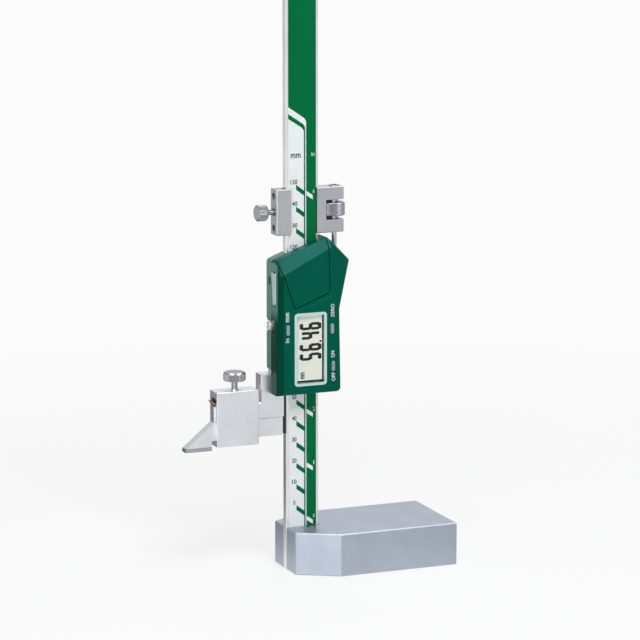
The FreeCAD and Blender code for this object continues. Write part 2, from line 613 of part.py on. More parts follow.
def make_front_casing():
    block, wedge = unit_block(), bevel_wedge()
    sloped = block.cut(wedge)
    strip = slider_prism(cover_outline(COVER_GROOVE + BEVEL_STRIP), UNIT_FRONT - 1, SLIDER_FRONT)
    outer = block.cut(wedge.common(strip))
    deeper = sloped.copy()
    deeper.translate(Vec(0, COVER_THICKNESS, 0))
    recess_floor = sloped.copy()
    recess_floor.translate(Vec(0, COVER_THICKNESS + SEAT_GAP, 0))
    PARTS["battery_cover"] = sloped.common(cover_prism(0)).cut(deeper)
    recess = sloped.common(cover_prism(COVER_GROOVE)).cut(recess_floor)

    inner_body = sloped.copy()
    inner_body.translate(Vec(0, CASING_WALL, 0))
    cavity = slider_prism(inset(unit_outline(), CASING_WALL), UNIT_FRONT, SLIDER_FRONT + 1)
    cavity = cavity.common(inner_body)
    below_recess = sloped.copy()
    below_recess.translate(Vec(0, COVER_THICKNESS + CASING_WALL, 0))
    cavity = cavity.cut(cover_prism(COVER_GROOVE + CASING_WALL).cut(below_recess))
    shell = outer.cut([recess, cavity])

    cell_x, cell_z = COLUMN_X + CELL_CENTRE[0], READING_HEIGHT + CELL_CENTRE[1]
    ring_radius = CELL_RADIUS + CELL_GAP
    ring_front = UNIT_FRONT + COVER_THICKNESS + SEAT_GAP
    ring = rod(cell_x, ring_front, cell_z, ring_radius + CELL_RING_WALL, BOARD_FRONT - SEAT_GAP - ring_front,
               (0, 1, 0))
    additions = [ring]
    for u, rel in CASING_SCREWS_AT:
        additions.append(rod(COLUMN_X + u, UNIT_INNER_FRONT - SEAT_GAP, READING_HEIGHT + rel,
                             CASING_BOSS_RADIUS, SLIDER_FRONT - UNIT_INNER_FRONT + SEAT_GAP, (0, 1, 0)))
    shell = shell.fuse(additions).removeSplitter()

    cuts = [rod(cell_x, ring_front - 1, cell_z, ring_radius, SLIDER_FRONT - ring_front + 1, (0, 1, 0))]
    contact = contact_tab_box(SEAT_GAP)
    cuts.append(contact)
    for u, rel in CASING_SCREWS_AT:
        cuts.append(rod(COLUMN_X + u, SLIDER_FRONT - CASING_SCREW_GRIP - SEAT_GAP, READING_HEIGHT + rel,
                        CASING_SCREW_RADIUS + SCREW_FIT, CASING_SCREW_GRIP + 1, (0, 1, 0)))
    cuts.append(bezel_block(SEAT_GAP, UNIT_FRONT - 1, UNIT_INNER_FRONT + SEAT_GAP))
    for u, rel in (BUTTON_UNIT_AT, BUTTON_ZERO_AT, BUTTON_POWER_AT):
        cuts.append(rounded_slot(u, rel, BUTTON_WIDTH + 2 * BUTTON_GAP, BUTTON_LENGTH + 2 * BUTTON_GAP,
                                 UNIT_FRONT - 1, UNIT_INNER_FRONT + 1))
    port_front = UNIT_FRONT + PORT_BEHIND_FRONT
    cuts.append(slider_box(-UNIT_HALF_WIDTH - 1, -UNIT_HALF_WIDTH + CASING_WALL + 1, port_front,
                           port_front + PORT_DEPTH, PORT_BOTTOM_REL, PORT_BOTTOM_REL + PORT_LENGTH))
    cuts.append(scoop(UNIT_FRONT + SCOOP_FRONT, SLIDER_FRONT + 1))
    cuts.append(rod(COLUMN_X - UNIT_HALF_WIDTH - 1, 0, READING_HEIGHT + LOCK_REL,
                    LOCK_HEAD_RADIUS + SCREW_BACKOFF / 4, CASING_WALL + 2, (1, 0, 0)))
    PARTS["front_casing"] = shell.cut(cuts)


def bezel_block(grow, y0, y1):
    half = BEZEL_WIDTH / 2 + grow
    block = slider_box(BEZEL_CENTRE_OUT - half, BEZEL_CENTRE_OUT + half, y0, y1,
                       REL_BEZEL_BOTTOM - grow, REL_BEZEL_BOTTOM + BEZEL_HEIGHT + grow)
    return block.makeFillet(BEZEL_CORNER + grow, edges_along(block, (0, 1, 0), lambda c: True))


def make_display():
    front, back = UNIT_FRONT - BEZEL_PROUD, UNIT_INNER_FRONT
    ring = bezel_block(0, front, back).cut(bezel_block(-BEZEL_RIM, front - 1, back + 1))
    PARTS["lcd_bezel"] = ring
    PARTS["lcd_window"] = bezel_block(-BEZEL_RIM - SCREW_FIT, back - WINDOW_THICKNESS, back)
    half = BEZEL_WIDTH / 2 - LCD_MARGIN
    bottom, top = REL_BEZEL_BOTTOM + LCD_MARGIN, REL_BEZEL_BOTTOM + BEZEL_HEIGHT - LCD_MARGIN
    PARTS["lcd_panel"] = slider_box(BEZEL_CENTRE_OUT - half, BEZEL_CENTRE_OUT + half,
                                    LCD_FRONT, LCD_BACK, bottom, top)
    strips = []
    for side in (-1, 1):
        middle = BEZEL_CENTRE_OUT + side * (half - CONNECTOR_INSET)
        strips.append(slider_box(middle - CONNECTOR_WIDTH / 2, middle + CONNECTOR_WIDTH / 2, LCD_BACK,
                                 BOARD_FRONT, bottom + CONNECTOR_END, top - CONNECTOR_END))
    PARTS["lcd_connectors"] = Part.Compound(strips)


def make_board():
    board = slider_prism(inset(unit_outline(), CASING_WALL + BOARD_GAP), BOARD_FRONT, SLIDER_FRONT)
    middle = REL_BEZEL_BOTTOM + BEZEL_HEIGHT / 2
    chip = slider_box(BEZEL_CENTRE_OUT - CHIP_SIZE / 2, BEZEL_CENTRE_OUT + CHIP_SIZE / 2,
                      BOARD_FRONT - CHIP_HEIGHT, BOARD_FRONT, middle - CHIP_SIZE / 2, middle + CHIP_SIZE / 2)
    board = board.fuse(chip).removeSplitter()
    cuts = [rod(COLUMN_X + u, BOARD_FRONT - 1, READING_HEIGHT + rel, CASING_BOSS_RADIUS + BUTTON_GAP,
                BOARD_THICKNESS + 2, (0, 1, 0)) for u, rel in CASING_SCREWS_AT]
    cuts.append(rod(COLUMN_X - UNIT_HALF_WIDTH - 1, 0, READING_HEIGHT + LOCK_REL,
                    LOCK_HEAD_RADIUS + SCREW_BACKOFF, CASING_WALL + BOARD_GAP + 2, (1, 0, 0)))
    PARTS["circuit_board"] = board.cut(cuts)
    switches = [rod(COLUMN_X + u, BOARD_FRONT - SWITCH_HEIGHT, READING_HEIGHT + rel, SWITCH_RADIUS,
                    SWITCH_HEIGHT, (0, 1, 0)) for u, rel in (BUTTON_UNIT_AT, BUTTON_ZERO_AT, BUTTON_POWER_AT)]
    PARTS["button_switches"] = Part.Compound(switches)
    port_front = UNIT_FRONT + PORT_BEHIND_FRONT
    left = -(UNIT_HALF_WIDTH - CASING_WALL - BOARD_GAP)
    PARTS["data_connector"] = slider_box(left, left + PORT_DEPTH, port_front + PORT_PLUG_GAP, BOARD_FRONT,
                                         PORT_BOTTOM_REL + PORT_END, PORT_BOTTOM_REL + PORT_LENGTH - PORT_END)


def contact_tab_box(grow):
    """Upright contact beside the cell, in a slot of the cell's ring."""
    u = CELL_CENTRE[0] + CELL_RADIUS + SCREW_FIT
    half = CONTACT_WIDTH / 2 + grow
    thick = CELL_GAP + CELL_RING_WALL
    front = BOARD_FRONT - CELL_THICKNESS * SOCKET_SHARE
    return slider_box(u, u + thick + grow, front - grow, BOARD_FRONT, CELL_CENTRE[1] - half,
                      CELL_CENTRE[1] + half)


def make_battery():
    x, z = COLUMN_X + CELL_CENTRE[0], READING_HEIGHT + CELL_CENTRE[1]
    cell_back = BOARD_FRONT - CONTACT_THICKNESS
    cell = rod(x, cell_back - CELL_THICKNESS, z, CELL_RADIUS, CELL_THICKNESS, (0, 1, 0))
    PARTS["battery_cell"] = cell.makeChamfer(CONTACT_THICKNESS, cell.Edges[:1] + cell.Edges[2:])
    plate = rod(x, cell_back, z, CELL_RADIUS - CELL_RING_WALL, CONTACT_THICKNESS, (0, 1, 0))
    PARTS["battery_contacts"] = Part.Compound([plate, contact_tab_box(0)])


def make_button(name, place):
    u, rel = place
    cap = rounded_slot(u, rel, BUTTON_WIDTH, BUTTON_LENGTH, UNIT_FRONT - BUTTON_PROUD,
                       UNIT_INNER_FRONT + SEAT_GAP)
    front_edges = [e for e in cap.Edges if abs(e.CenterOfMass.y - UNIT_FRONT + BUTTON_PROUD) < 1e-6]
    cap = cap.makeFillet(BUTTON_PROUD * SOCKET_SHARE, front_edges)
    flange_back = UNIT_INNER_FRONT + SEAT_GAP + BUTTON_FLANGE_THICKNESS
    wider = 2 * BUTTON_FLANGE_EXTRA
    flange = rounded_slot(u, rel, BUTTON_WIDTH + wider, BUTTON_LENGTH + wider,
                          UNIT_INNER_FRONT + SEAT_GAP, flange_back)
    stem_end = BOARD_FRONT - SWITCH_HEIGHT - SWITCH_GAP - BUTTON_TRAVEL
    stem = rod(COLUMN_X + u, flange_back, READING_HEIGHT + rel, BUTTON_STEM_RADIUS, stem_end - flange_back,
               (0, 1, 0))
    PARTS[name] = cap.fuse([flange, stem]).removeSplitter()


def make_port_cover():
    """Tapered plate with a plug behind it."""
    front = UNIT_FRONT + PORT_COVER_EDGE
    side = COLUMN_X - UNIT_HALF_WIDTH
    top, bottom = READING_HEIGHT + PORT_COVER_TOP_REL, READING_HEIGHT + PORT_COVER_BOTTOM_REL
    outline = [(front, bottom), (front, top), (front + PORT_COVER_WIDTH, top),
               (front + PORT_COVER_TIP_WIDTH, bottom)]
    corners = [Vec(side - PORT_COVER_THICKNESS, y, z) for y, z in outline]
    plate = Part.Face(Part.makePolygon(corners + corners[:1])).extrude(Vec(PORT_COVER_THICKNESS, 0, 0))
    low = edges_along(plate, (1, 0, 0), lambda c: abs(c.z - bottom) < 0.01)
    plate = plate.makeFillet(PORT_COVER_TIP_WIDTH * SOCKET_SHARE * 0.9, low)
    outer = [e for e in plate.Edges if abs(e.CenterOfMass.x - side + PORT_COVER_THICKNESS) < 1e-6]
    plate = plate.makeChamfer(JAW_EDGE * SOCKET_SHARE, outer)
    port_front = UNIT_FRONT + PORT_BEHIND_FRONT
    gap = PORT_PLUG_GAP
    plug_back = min(port_front + PORT_DEPTH, front + PORT_COVER_TIP_WIDTH) - gap
    plug = slider_box(-UNIT_HALF_WIDTH, -UNIT_HALF_WIDTH + CASING_WALL, port_front + gap, plug_back,
                      PORT_BOTTOM_REL + PORT_END, PORT_BOTTOM_REL + PORT_LENGTH - PORT_END)
    PARTS["data_port_cover"] = plate.fuse(plug).removeSplitter()


def make_casing_screws():
    seat = SLIDER_BACK - CASING_SCREW_SINK
    length = seat - SLIDER_FRONT + CASING_SCREW_GRIP
    screws = []
    for u, rel in CASING_SCREWS_AT:
        x, z = COLUMN_X + u, READING_HEIGHT + rel
        body = rod(x, seat - length, z, CASING_SCREW_RADIUS, length, (0, 1, 0))
        head = rod(x, seat, z, CASING_SCREW_HEAD_RADIUS, CASING_SCREW_HEAD_HEIGHT, (0, 1, 0))
        screw = body.fuse(head).removeSplitter()
        arm = CASING_SCREW_HEAD_RADIUS * SOCKET_SHARE
        wide = arm / 3
        top = seat + CASING_SCREW_HEAD_HEIGHT
        across = sized_box(x - arm, x + arm, top - arm, top + 1, z - wide, z + wide)
        upright = sized_box(x - wide, x + wide, top - arm, top + 1, z - arm, z + arm)
        screws.append(screw.cut([across, upright]))
    PARTS["casing_screws"] = Part.Compound(screws)


def make_lock_screw():
    pad_right = CHANNEL_LEFT + SLIDE_FIT
    pad_left = pad_right - LOCK_PAD_LENGTH
    z = READING_HEIGHT + LOCK_REL
    PARTS["lock_pad"] = rod(COLUMN_X + pad_left, 0, z, LOCK_SCREW_RADIUS, LOCK_PAD_LENGTH, (1, 0, 0))
    head_left = -UNIT_HALF_WIDTH - LOCK_HEAD_PROUD
    head_right = -UNIT_HALF_WIDTH + FRAME_INSET - SEAT_GAP
    shank = rod(COLUMN_X + head_left, 0, z, LOCK_SCREW_RADIUS, pad_left - SCREW_FIT - head_left, (1, 0, 0))
    head = rod(COLUMN_X + head_left, 0, z, LOCK_HEAD_RADIUS, head_right - head_left, (1, 0, 0))
    head = head.makeChamfer(JAW_EDGE, [e for e in head.Edges
                                       if abs(e.CenterOfMass.x - COLUMN_X - head_left) < 1e-6])
    screw = shank.fuse(head).removeSplitter()
    slot = sized_box(COLUMN_X + head_left - 1, COLUMN_X + head_left + LOCK_HEAD_PROUD, -LOCK_HEAD_RADIUS,
                     LOCK_HEAD_RADIUS, z - JAW_EDGE, z + JAW_EDGE)
    PARTS["lock_screw"] = screw.cut(slot)


def make_carriage():
    """Clamp carriage that wraps the column from behind, with a window for the fine adjustment nut."""
    low, high = REL_CARRIAGE_BOTTOM, REL_CARRIAGE_TOP
    block = slider_box(-CARRIAGE_LEFT, CARRIAGE_RIGHT, -CARRIAGE_FRONT, CARRIAGE_BACK, low, high)
    upright = edges_along(block, (0, 0, 1), lambda c: c.x < COLUMN_X)
    block = block.makeFillet(CARRIAGE_CORNER, upright)
    rims = [e for e in block.Edges if abs(e.CenterOfMass.z - READING_HEIGHT - low) < 1e-6
            or abs(e.CenterOfMass.z - READING_HEIGHT - high) < 1e-6]
    block = block.makeChamfer(CARRIAGE_EDGE, rims)
    lip_back = COLUMN_FRONT - CARRIAGE_LIP_GAP
    left_lip, right_lip = -COLUMN_HALF + CARRIAGE_LEFT_LIP, COLUMN_HALF - CARRIAGE_RIGHT_LIP
    middle = REL_CARRIAGE_MIDDLE
    window_left = FINE_SCREW_OUT - FINE_NUT_RADIUS - FINE_NUT_WALL_GAP
    window_back = FINE_NUT_RADIUS + FINE_NUT_WALL_GAP
    reach = FINE_NUT_WINDOW / 2 + FINE_NUT_BACK_MARGIN
    hump = slider_box(window_left - FINE_NUT_BACK_MARGIN, CARRIAGE_RIGHT, CARRIAGE_BACK - CARRIAGE_CORNER,
                      window_back + FINE_NUT_BACK_WALL, middle - reach, middle + reach)
    block = block.fuse(hump).removeSplitter()
    left = COLUMN_X - CARRIAGE_LEFT
    bore = CHANNEL_LEFT + CARRIAGE_LEFT + SLIDE_FIT
    cuts = [slider_box(CHANNEL_LEFT, CHANNEL_RIGHT, lip_back, CHANNEL_BACK, low - 1, high + 1),
            slider_box(left_lip, right_lip, -CARRIAGE_FRONT - 1, lip_back + SLIDE_FIT, low - 1, high + 1),
            slider_box(window_left, CARRIAGE_RIGHT + 1, -CARRIAGE_FRONT - 1, window_back,
                       middle - FINE_NUT_WINDOW / 2, middle + FINE_NUT_WINDOW / 2),
            rod(COLUMN_X + FINE_SCREW_OUT, 0, READING_HEIGHT + low - 1, FINE_SCREW_RADIUS + SLIDE_FIT,
                CARRIAGE_HEIGHT / 2, (0, 0, 1)),
            rod(COLUMN_X + FINE_SCREW_OUT, 0, READING_HEIGHT + middle, BUSH_RADIUS + SCREW_FIT,
                CARRIAGE_HEIGHT, (0, 0, 1)),
            rod(left - 1, 0, READING_HEIGHT + middle, CARRIAGE_THUMB_RADIUS + SCREW_FIT, bore + 1, (1, 0, 0)),
            rod(left - 1, 0, READING_HEIGHT + middle, CARRIAGE_THUMB_COUNTERBORE,
                CARRIAGE_THUMB_COUNTERBORE_DEPTH + 1, (1, 0, 0))]
    for side in (-1, 1):
        z = READING_HEIGHT + middle + side * CARRIAGE_SCREW_SPREAD / 2
        cuts.append(rod(left - 1, 0, z, CARRIAGE_SCREW_RADIUS + SCREW_FIT, bore + 1, (1, 0, 0)))
    PARTS["carriage"] = block.cut(cuts)
    PARTS["carriage_gib"] = gib_strip(low + GIB_END_GAP, high - GIB_END_GAP)
    screws = [grub_screw(middle, CARRIAGE_SCREW_RADIUS, -CARRIAGE_LEFT + GIB_END_GAP,
                         side * CARRIAGE_SCREW_SPREAD / 2) for side in (-1, 1)]
    PARTS["carriage_gib_screws"] = Part.Compound(screws)
    x = COLUMN_X + FINE_SCREW_OUT
    window_top = READING_HEIGHT + middle + FINE_NUT_WINDOW / 2
    top = READING_HEIGHT + high
    sleeve = rod(x, 0, window_top, BUSH_RADIUS, top - window_top, (0, 0, 1))
    flange = rod(x, 0, top, BUSH_FLANGE_RADIUS, BUSH_FLANGE_HEIGHT, (0, 0, 1))
    bore_cut = rod(x, 0, window_top - 1, FINE_SCREW_RADIUS + SLIDE_FIT, CARRIAGE_HEIGHT, (0, 0, 1))
    PARTS["carriage_bush"] = sleeve.fuse(flange).removeSplitter().cut(bore_cut)


def make_fine_adjustment():
    x = COLUMN_X + FINE_SCREW_OUT
    bottom = right_height(FINE_SCREW_OUT, FRAME_INSET) - FINE_SCREW_GRIP
    length = REL_FINE_SCREW_TOP - bottom
    screw = rod(x, 0, READING_HEIGHT + bottom, FINE_SCREW_RADIUS, length, (0, 0, 1))
    top = READING_HEIGHT + REL_FINE_SCREW_TOP
    upper = [e for e in screw.Edges if abs(e.CenterOfMass.z - top) < 1e-6]
    PARTS["fine_screw"] = screw.makeChamfer(CARRIAGE_EDGE, upper)
    middle = READING_HEIGHT + REL_CARRIAGE_MIDDLE
    hub_half = FINE_NUT_WINDOW / 2 - FINE_NUT_END_GAP
    hub = rod(x, 0, middle - hub_half, FINE_NUT_HUB_RADIUS, 2 * hub_half, (0, 0, 1))
    wheel = rod(x, 0, middle - FINE_NUT_HEIGHT / 2, FINE_NUT_RADIUS, FINE_NUT_HEIGHT, (0, 0, 1))
    rims = [e for e in wheel.Edges if abs(abs(e.CenterOfMass.z - middle) - FINE_NUT_HEIGHT / 2) < 1e-6]
    wheel = wheel.makeChamfer(CARRIAGE_EDGE, rims)
    bore = rod(x, 0, middle - hub_half - 1, FINE_SCREW_RADIUS + SLIDE_FIT, 2 * hub_half + 2, (0, 0, 1))
    PARTS["fine_nut"] = hub.fuse(wheel).removeSplitter().cut(bore)


def make_carriage_thumb_screw():
    z = READING_HEIGHT + REL_CARRIAGE_MIDDLE
    pad_right = CHANNEL_LEFT + SLIDE_FIT
    pad_left = pad_right - CARRIAGE_PAD_LENGTH
    PARTS["carriage_pad"] = rod(COLUMN_X + pad_left, 0, z, CARRIAGE_THUMB_RADIUS, CARRIAGE_PAD_LENGTH,
                                (1, 0, 0))
    head_right = -CARRIAGE_LEFT - CARRIAGE_THUMB_NECK
    head_left = head_right - CARRIAGE_THUMB_HEAD_LENGTH
    shank = rod(COLUMN_X + head_left, 0, z, CARRIAGE_THUMB_RADIUS, pad_left - head_left, (1, 0, 0))
    head = rod(COLUMN_X + head_left, 0, z, CARRIAGE_THUMB_HEAD_RADIUS, CARRIAGE_THUMB_HEAD_LENGTH, (1, 0, 0))
    ends = [e for e in head.Edges if len(e.Vertexes) == 1 or e.Closed]
    head = head.makeChamfer(CARRIAGE_CORNER, ends)
    PARTS["carriage_clamp_screw"] = shank.fuse(head).removeSplitter()


def make_clamp():
    """Box round the jaw's bar and the scriber, tightened by the screw on top."""
    box = slider_box(CLAMP_LEFT, CLAMP_RIGHT, CLAMP_FRONT, CLAMP_BACK, REL_CLAMP_BOTTOM, REL_CLAMP_TOP)
    box = along_side(box, CLAMP_EDGE)
    boss = rod(COLUMN_X + CLAMP_CENTRE, BAR_MIDDLE, READING_HEIGHT + REL_CLAMP_TOP, CLAMP_BOSS_RADIUS,
               CLAMP_BOSS_HEIGHT, (0, 0, 1))
    box = box.fuse(boss).removeSplitter()
    hollow = slider_box(CLAMP_LEFT - 1, CLAMP_RIGHT + 1, SLIDER_FRONT - SLIDE_FIT, BAR_BACK + SLIDE_FIT,
                        REL_SCRIBER_BOTTOM, REL_CLAMP_CEILING)
    thread = rod(COLUMN_X + CLAMP_CENTRE, BAR_MIDDLE, READING_HEIGHT + REL_CLAMP_CEILING - 1,
                 CLAMP_SCREW_RADIUS + SCREW_FIT, CLAMP_TOP_WALL + 3, (0, 0, 1))
    PARTS["clamp_box"] = box.cut([hollow, thread])

    left, right = CLAMP_LEFT - CLAMP_PLATE_OVERHANG, CLAMP_RIGHT - CLAMP_PLATE_END_GAP
    low = REL_BAR_TOP
    thick, turn = CLAMP_PLATE_THICKNESS, CLAMP_PLATE_TURN_UP
    points = [(left + turn, low), (right, low), (right, low + thick), (left + turn + thick / 2, low + thick),
              (left + thick / 2 - SLIDE_FIT, low + thick + turn), (left - thick / 2, low + thick + turn)]
    PARTS["clamp_plate"] = slider_prism(points, SLIDER_FRONT + CLAMP_EDGE, BAR_BACK - CLAMP_EDGE)

    tip = REL_BAR_TOP + thick
    head_low = REL_CLAMP_TOP + CLAMP_HEAD_CLEAR
    x, y = COLUMN_X + CLAMP_CENTRE, BAR_MIDDLE
    shank = rod(x, y, READING_HEIGHT + tip, CLAMP_SCREW_RADIUS, head_low - tip, (0, 0, 1))
    rim = rod(x, y, READING_HEIGHT + head_low, CLAMP_HEAD_RADIUS, CLAMP_HEAD_RIM + CLAMP_HEAD_BEVEL,
              (0, 0, 1))
    top = READING_HEIGHT + head_low + CLAMP_HEAD_RIM + CLAMP_HEAD_BEVEL
    rim = rim.makeChamfer(CLAMP_HEAD_BEVEL, [e for e in rim.Edges if abs(e.CenterOfMass.z - top) < 1e-6])
    foot = READING_HEIGHT + head_low
    rim = rim.makeChamfer(CLAMP_EDGE, [e for e in rim.Edges if abs(e.CenterOfMass.z - foot) < 1e-6])
    PARTS["clamp_screw"] = shank.fuse(rim).removeSplitter()


def make_scriber():
    right = -(COLUMN_HALF + SCRIBER_COLUMN_GAP)
    top, bottom = REL_BAR_BOTTOM, REL_SCRIBER_BOTTOM
    slope_end = -SCRIBER_TIP_OUT + TIP_SLOPE_RUN
    steel = [(slope_end, TIP_THICKNESS), (-SCRIBER_FOOT_START, TIP_THICKNESS), (-SCRIBER_FOOT_START, bottom),
             (right, bottom), (right, top), (-SCRIBER_SLOPE_START, top)]
    PARTS["scriber"] = slider_prism(steel, SLIDER_FRONT, BAR_BACK)
    tip = [(-SCRIBER_TIP_OUT, 0), (-SCRIBER_FOOT_START, 0), (-SCRIBER_FOOT_START, TIP_THICKNESS),
           (slope_end, TIP_THICKNESS), (-SCRIBER_TIP_OUT, SCRIBER_TIP_BLUNT)]
    PARTS["scriber_tip"] = slider_prism(tip, SLIDER_FRONT, BAR_BACK)


make_base()
make_column()
make_slider_frame()
make_slider_gib()
make_rear_casing()
make_front_casing()
make_display()
make_board()
make_battery()
make_button("button_unit", BUTTON_UNIT_AT)
make_button("button_zero", BUTTON_ZERO_AT)
make_button("button_power", BUTTON_POWER_AT)
make_port_cover()
make_casing_screws()
make_lock_screw()
make_carriage()
make_fine_adjustment()
make_carriage_thumb_screw()
make_clamp()
make_scriber()

os.makedirs("parts", exist_ok=True)
for name, shape in PARTS.items():
    shape.exportStep("parts/" + name + ".step")
    print(name, len(shape.Solids), "solids", shape.isValid(), round(shape.Volume, 1))
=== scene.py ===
import bpy
import bmesh
import json
import math
from mathutils import Matrix, Vector


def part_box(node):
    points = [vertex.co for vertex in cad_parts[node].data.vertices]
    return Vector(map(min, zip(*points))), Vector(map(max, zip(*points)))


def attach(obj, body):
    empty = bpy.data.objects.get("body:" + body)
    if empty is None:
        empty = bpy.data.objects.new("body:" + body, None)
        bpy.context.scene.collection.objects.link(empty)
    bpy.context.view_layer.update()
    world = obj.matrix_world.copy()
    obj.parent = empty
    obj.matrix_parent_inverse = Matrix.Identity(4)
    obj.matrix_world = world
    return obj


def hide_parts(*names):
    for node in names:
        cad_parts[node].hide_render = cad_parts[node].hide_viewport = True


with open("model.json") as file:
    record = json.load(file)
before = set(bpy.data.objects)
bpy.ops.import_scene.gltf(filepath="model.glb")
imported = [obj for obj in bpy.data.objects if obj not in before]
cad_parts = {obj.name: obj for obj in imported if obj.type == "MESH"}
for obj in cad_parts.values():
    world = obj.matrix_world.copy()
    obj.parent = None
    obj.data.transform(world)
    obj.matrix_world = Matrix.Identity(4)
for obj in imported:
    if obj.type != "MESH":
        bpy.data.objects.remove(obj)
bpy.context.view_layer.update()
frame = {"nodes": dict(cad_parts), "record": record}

nodes = frame["nodes"]
scene = bpy.context.scene
mm = 0.001
inch = 25.4
bodyOf = {}
for bodyName, members in frame["record"]["behaviour"]["bodies"].items():
    for member in members:
        bodyOf[member] = bodyName
slotOf = {part["node"]: part["material_slot"] for part in frame["record"]["subparts"]}
# nodes that show another finish than the one their slot names; the lock screw's near white steel is a painted
# highlight
lookOf = {"lock_screw": "paintedHighlightSteel", "fine_nut": "knurledSteel"}
print("frame loaded:", len(nodes), "nodes")


# A value in a material, so that shader maths reads as plain sums
class Wire:
    def __init__(self, finish, socket):
        self.finish = finish
        self.socket = socket

    def maths(self, operation, first, second):
        made = self.finish.node("ShaderNodeMath", {"operation": operation}, {0: first, 1: second})
        return Wire(self.finish, made.outputs[0])

    def __add__(self, other):
        return self.maths("ADD", self, other)

    def __sub__(self, other):
        return self.maths("SUBTRACT", self, other)

    def __mul__(self, other):
        return self.maths("MULTIPLY", self, other)


# One material or world, and the few ways in which its nodes are made
class Finish:
    def __init__(self, name, holder=None):
        self.holder = holder or bpy.data.materials.new(name)
        self.holder.use_nodes = True
        self.tree = self.holder.node_tree
        self.tree.nodes.clear()

    def node(self, kind, settings=None, values=None):
        made = self.tree.nodes.new(kind)
        for key, value in (settings or {}).items():
            setattr(made, key, value)
        for key, value in (values or {}).items():
            socket = made.inputs[key]
            if isinstance(value, Wire):
                self.tree.links.new(value.socket, socket)
            elif isinstance(value, bpy.types.NodeSocket):
                self.tree.links.new(value, socket)
            else:
                socket.default_value = value
        return made

    # Noise that stays on the object: its scale is per metre
    def noise(self, scale, detail=3.0, stretch=(1, 1, 1)):
        place = self.node("ShaderNodeTexCoord").outputs["Object"]
        place = self.node("ShaderNodeMapping", None, {"Vector": place, "Scale": stretch}).outputs[0]
        made = self.node("ShaderNodeTexNoise", None, {"Vector": place, "Scale": scale, "Detail": detail})
        return Wire(self, made.outputs[0])

    # Maps the range from start to end of a value onto the range from low to high, clamped
    def spread(self, wire, low, high, start=0.3, end=0.7):
        made = self.node("ShaderNodeMapRange", None, {"Value": wire, "From Min": start, "From Max": end,
                                                      "To Min": low, "To Max": high})
        return Wire(self, made.outputs[0])

    def blend(self, factor, first, second):
        made = self.node("ShaderNodeMix", {"data_type": "RGBA"}, {0: factor, 6: first, 7: second})
        return made.outputs[2]

    def bump(self, height, distance, strength):
        made = self.node("ShaderNodeBump", None, {"Height": height, "Distance": distance, "Strength": strength})
        return made.outputs[0]

    def principled(self, values):
        return self.node("ShaderNodeBsdfPrincipled", None, values).outputs[0]

    def end(self, shader, kind="ShaderNodeOutputMaterial"):
        self.node(kind, None, {0: shader})
        return self.holder


# A colour made lighter or darker, with its alpha
def shade(colour, factor):
    return tuple(min(1.0, part * factor) for part in colour[:3]) + (1.0,)


metalGrain = {"line": 2600, "cloud": 90, "smudge": 260, "detail": 4.0, "cloudShare": 0.55, "lineShare": 0.45,
              "glossSwing": 0.07, "height": 0.00002}


# Machined metal: fine tool lines along one direction, soft blotches, handling marks in the gloss
def machined(name, colour, rough, lines=(1, 1, 0.07), depth=0.3, contrast=0.09):
    finish = Finish(name)
    line = finish.noise(metalGrain["line"], metalGrain["detail"], lines)
    cloud = finish.noise(metalGrain["cloud"])
    smudge = finish.noise(metalGrain["smudge"], metalGrain["detail"])
    tint = finish.spread(cloud * metalGrain["cloudShare"] + line * metalGrain["lineShare"], 0.0, 1.0)
    swing = metalGrain["glossSwing"]
    return finish.end(finish.principled({
        "Base Color": finish.blend(tint, shade(colour, 1 - contrast), shade(colour, 1 + contrast)),
        "Metallic": 1.0,
        "Roughness": finish.spread(line * 0.5 + smudge * 0.5, rough - swing, rough + swing),
        "Normal": finish.bump(line, metalGrain["height"], depth)}))


plasticGrain = {"flow": 60, "flowStretch": (1, 1, 0.4), "smudge": 240, "smudgeDetail": 4.0, "peel": 3200,
                "detail": 2.0, "glossDown": 0.04, "glossUp": 0.05, "height": 0.00001}


# Faint flow marks of a moulded surface, as a share from 0 to 1
def flowMarks(finish):
    flow = finish.noise(plasticGrain["flow"], plasticGrain["detail"], plasticGrain["flowStretch"])
    return finish.spread(flow, 0.0, 1.0)


# The gloss of a moulded surface, uneven where it was touched
def smudged(finish, rough):
    smudge = finish.noise(plasticGrain["smudge"], plasticGrain["smudgeDetail"])
    return finish.spread(smudge, rough - plasticGrain["glossDown"], rough + plasticGrain["glossUp"])


# Moulded plastic, rubber or paint: faint flow marks, smudges in the gloss, fine orange peel
def moulded(name, colour, rough, level, peel=0.12, contrast=0.06):
    finish = Finish(name)
    return finish.end(finish.principled({
        "Base Color": finish.blend(flowMarks(finish), shade(colour, 1 - contrast), shade(colour, 1 + contrast)),
        "Roughness": smudged(finish, rough),
        "Specular IOR Level": level,
        "Normal": finish.bump(finish.noise(plasticGrain["peel"], plasticGrain["detail"]),
                              plasticGrain["height"], peel)}))


casingLook = {"colour": (0.0004, 0.074, 0.046), "contrast": 0.05, "rough": 0.20, "level": 0.075,
              "peel": 1400, "peelDepth": 0.10, "tint": (0.30, 0.90, 1.0, 1),
              "mirror": (0.26, 0.90, 0.98, 1), "sheenStart": 0.66, "sheenEnd": 0.92, "sheen": 0.45,
              # painted reflection: a paler grey green on the left side face above the lock screw
              "side": (0.085, 0.225, 0.185, 1), "paintedReflectionAt": (-0.0459, -0.0455), "paintedReflectionAbove": (0.118, 0.124),
              # painted shade: a deeper green on the left edge of the front and the side beyond it
              "edge": (0.0002, 0.041, 0.022, 1), "paintedEdgeShadeAt": (-0.0434, -0.0424)}
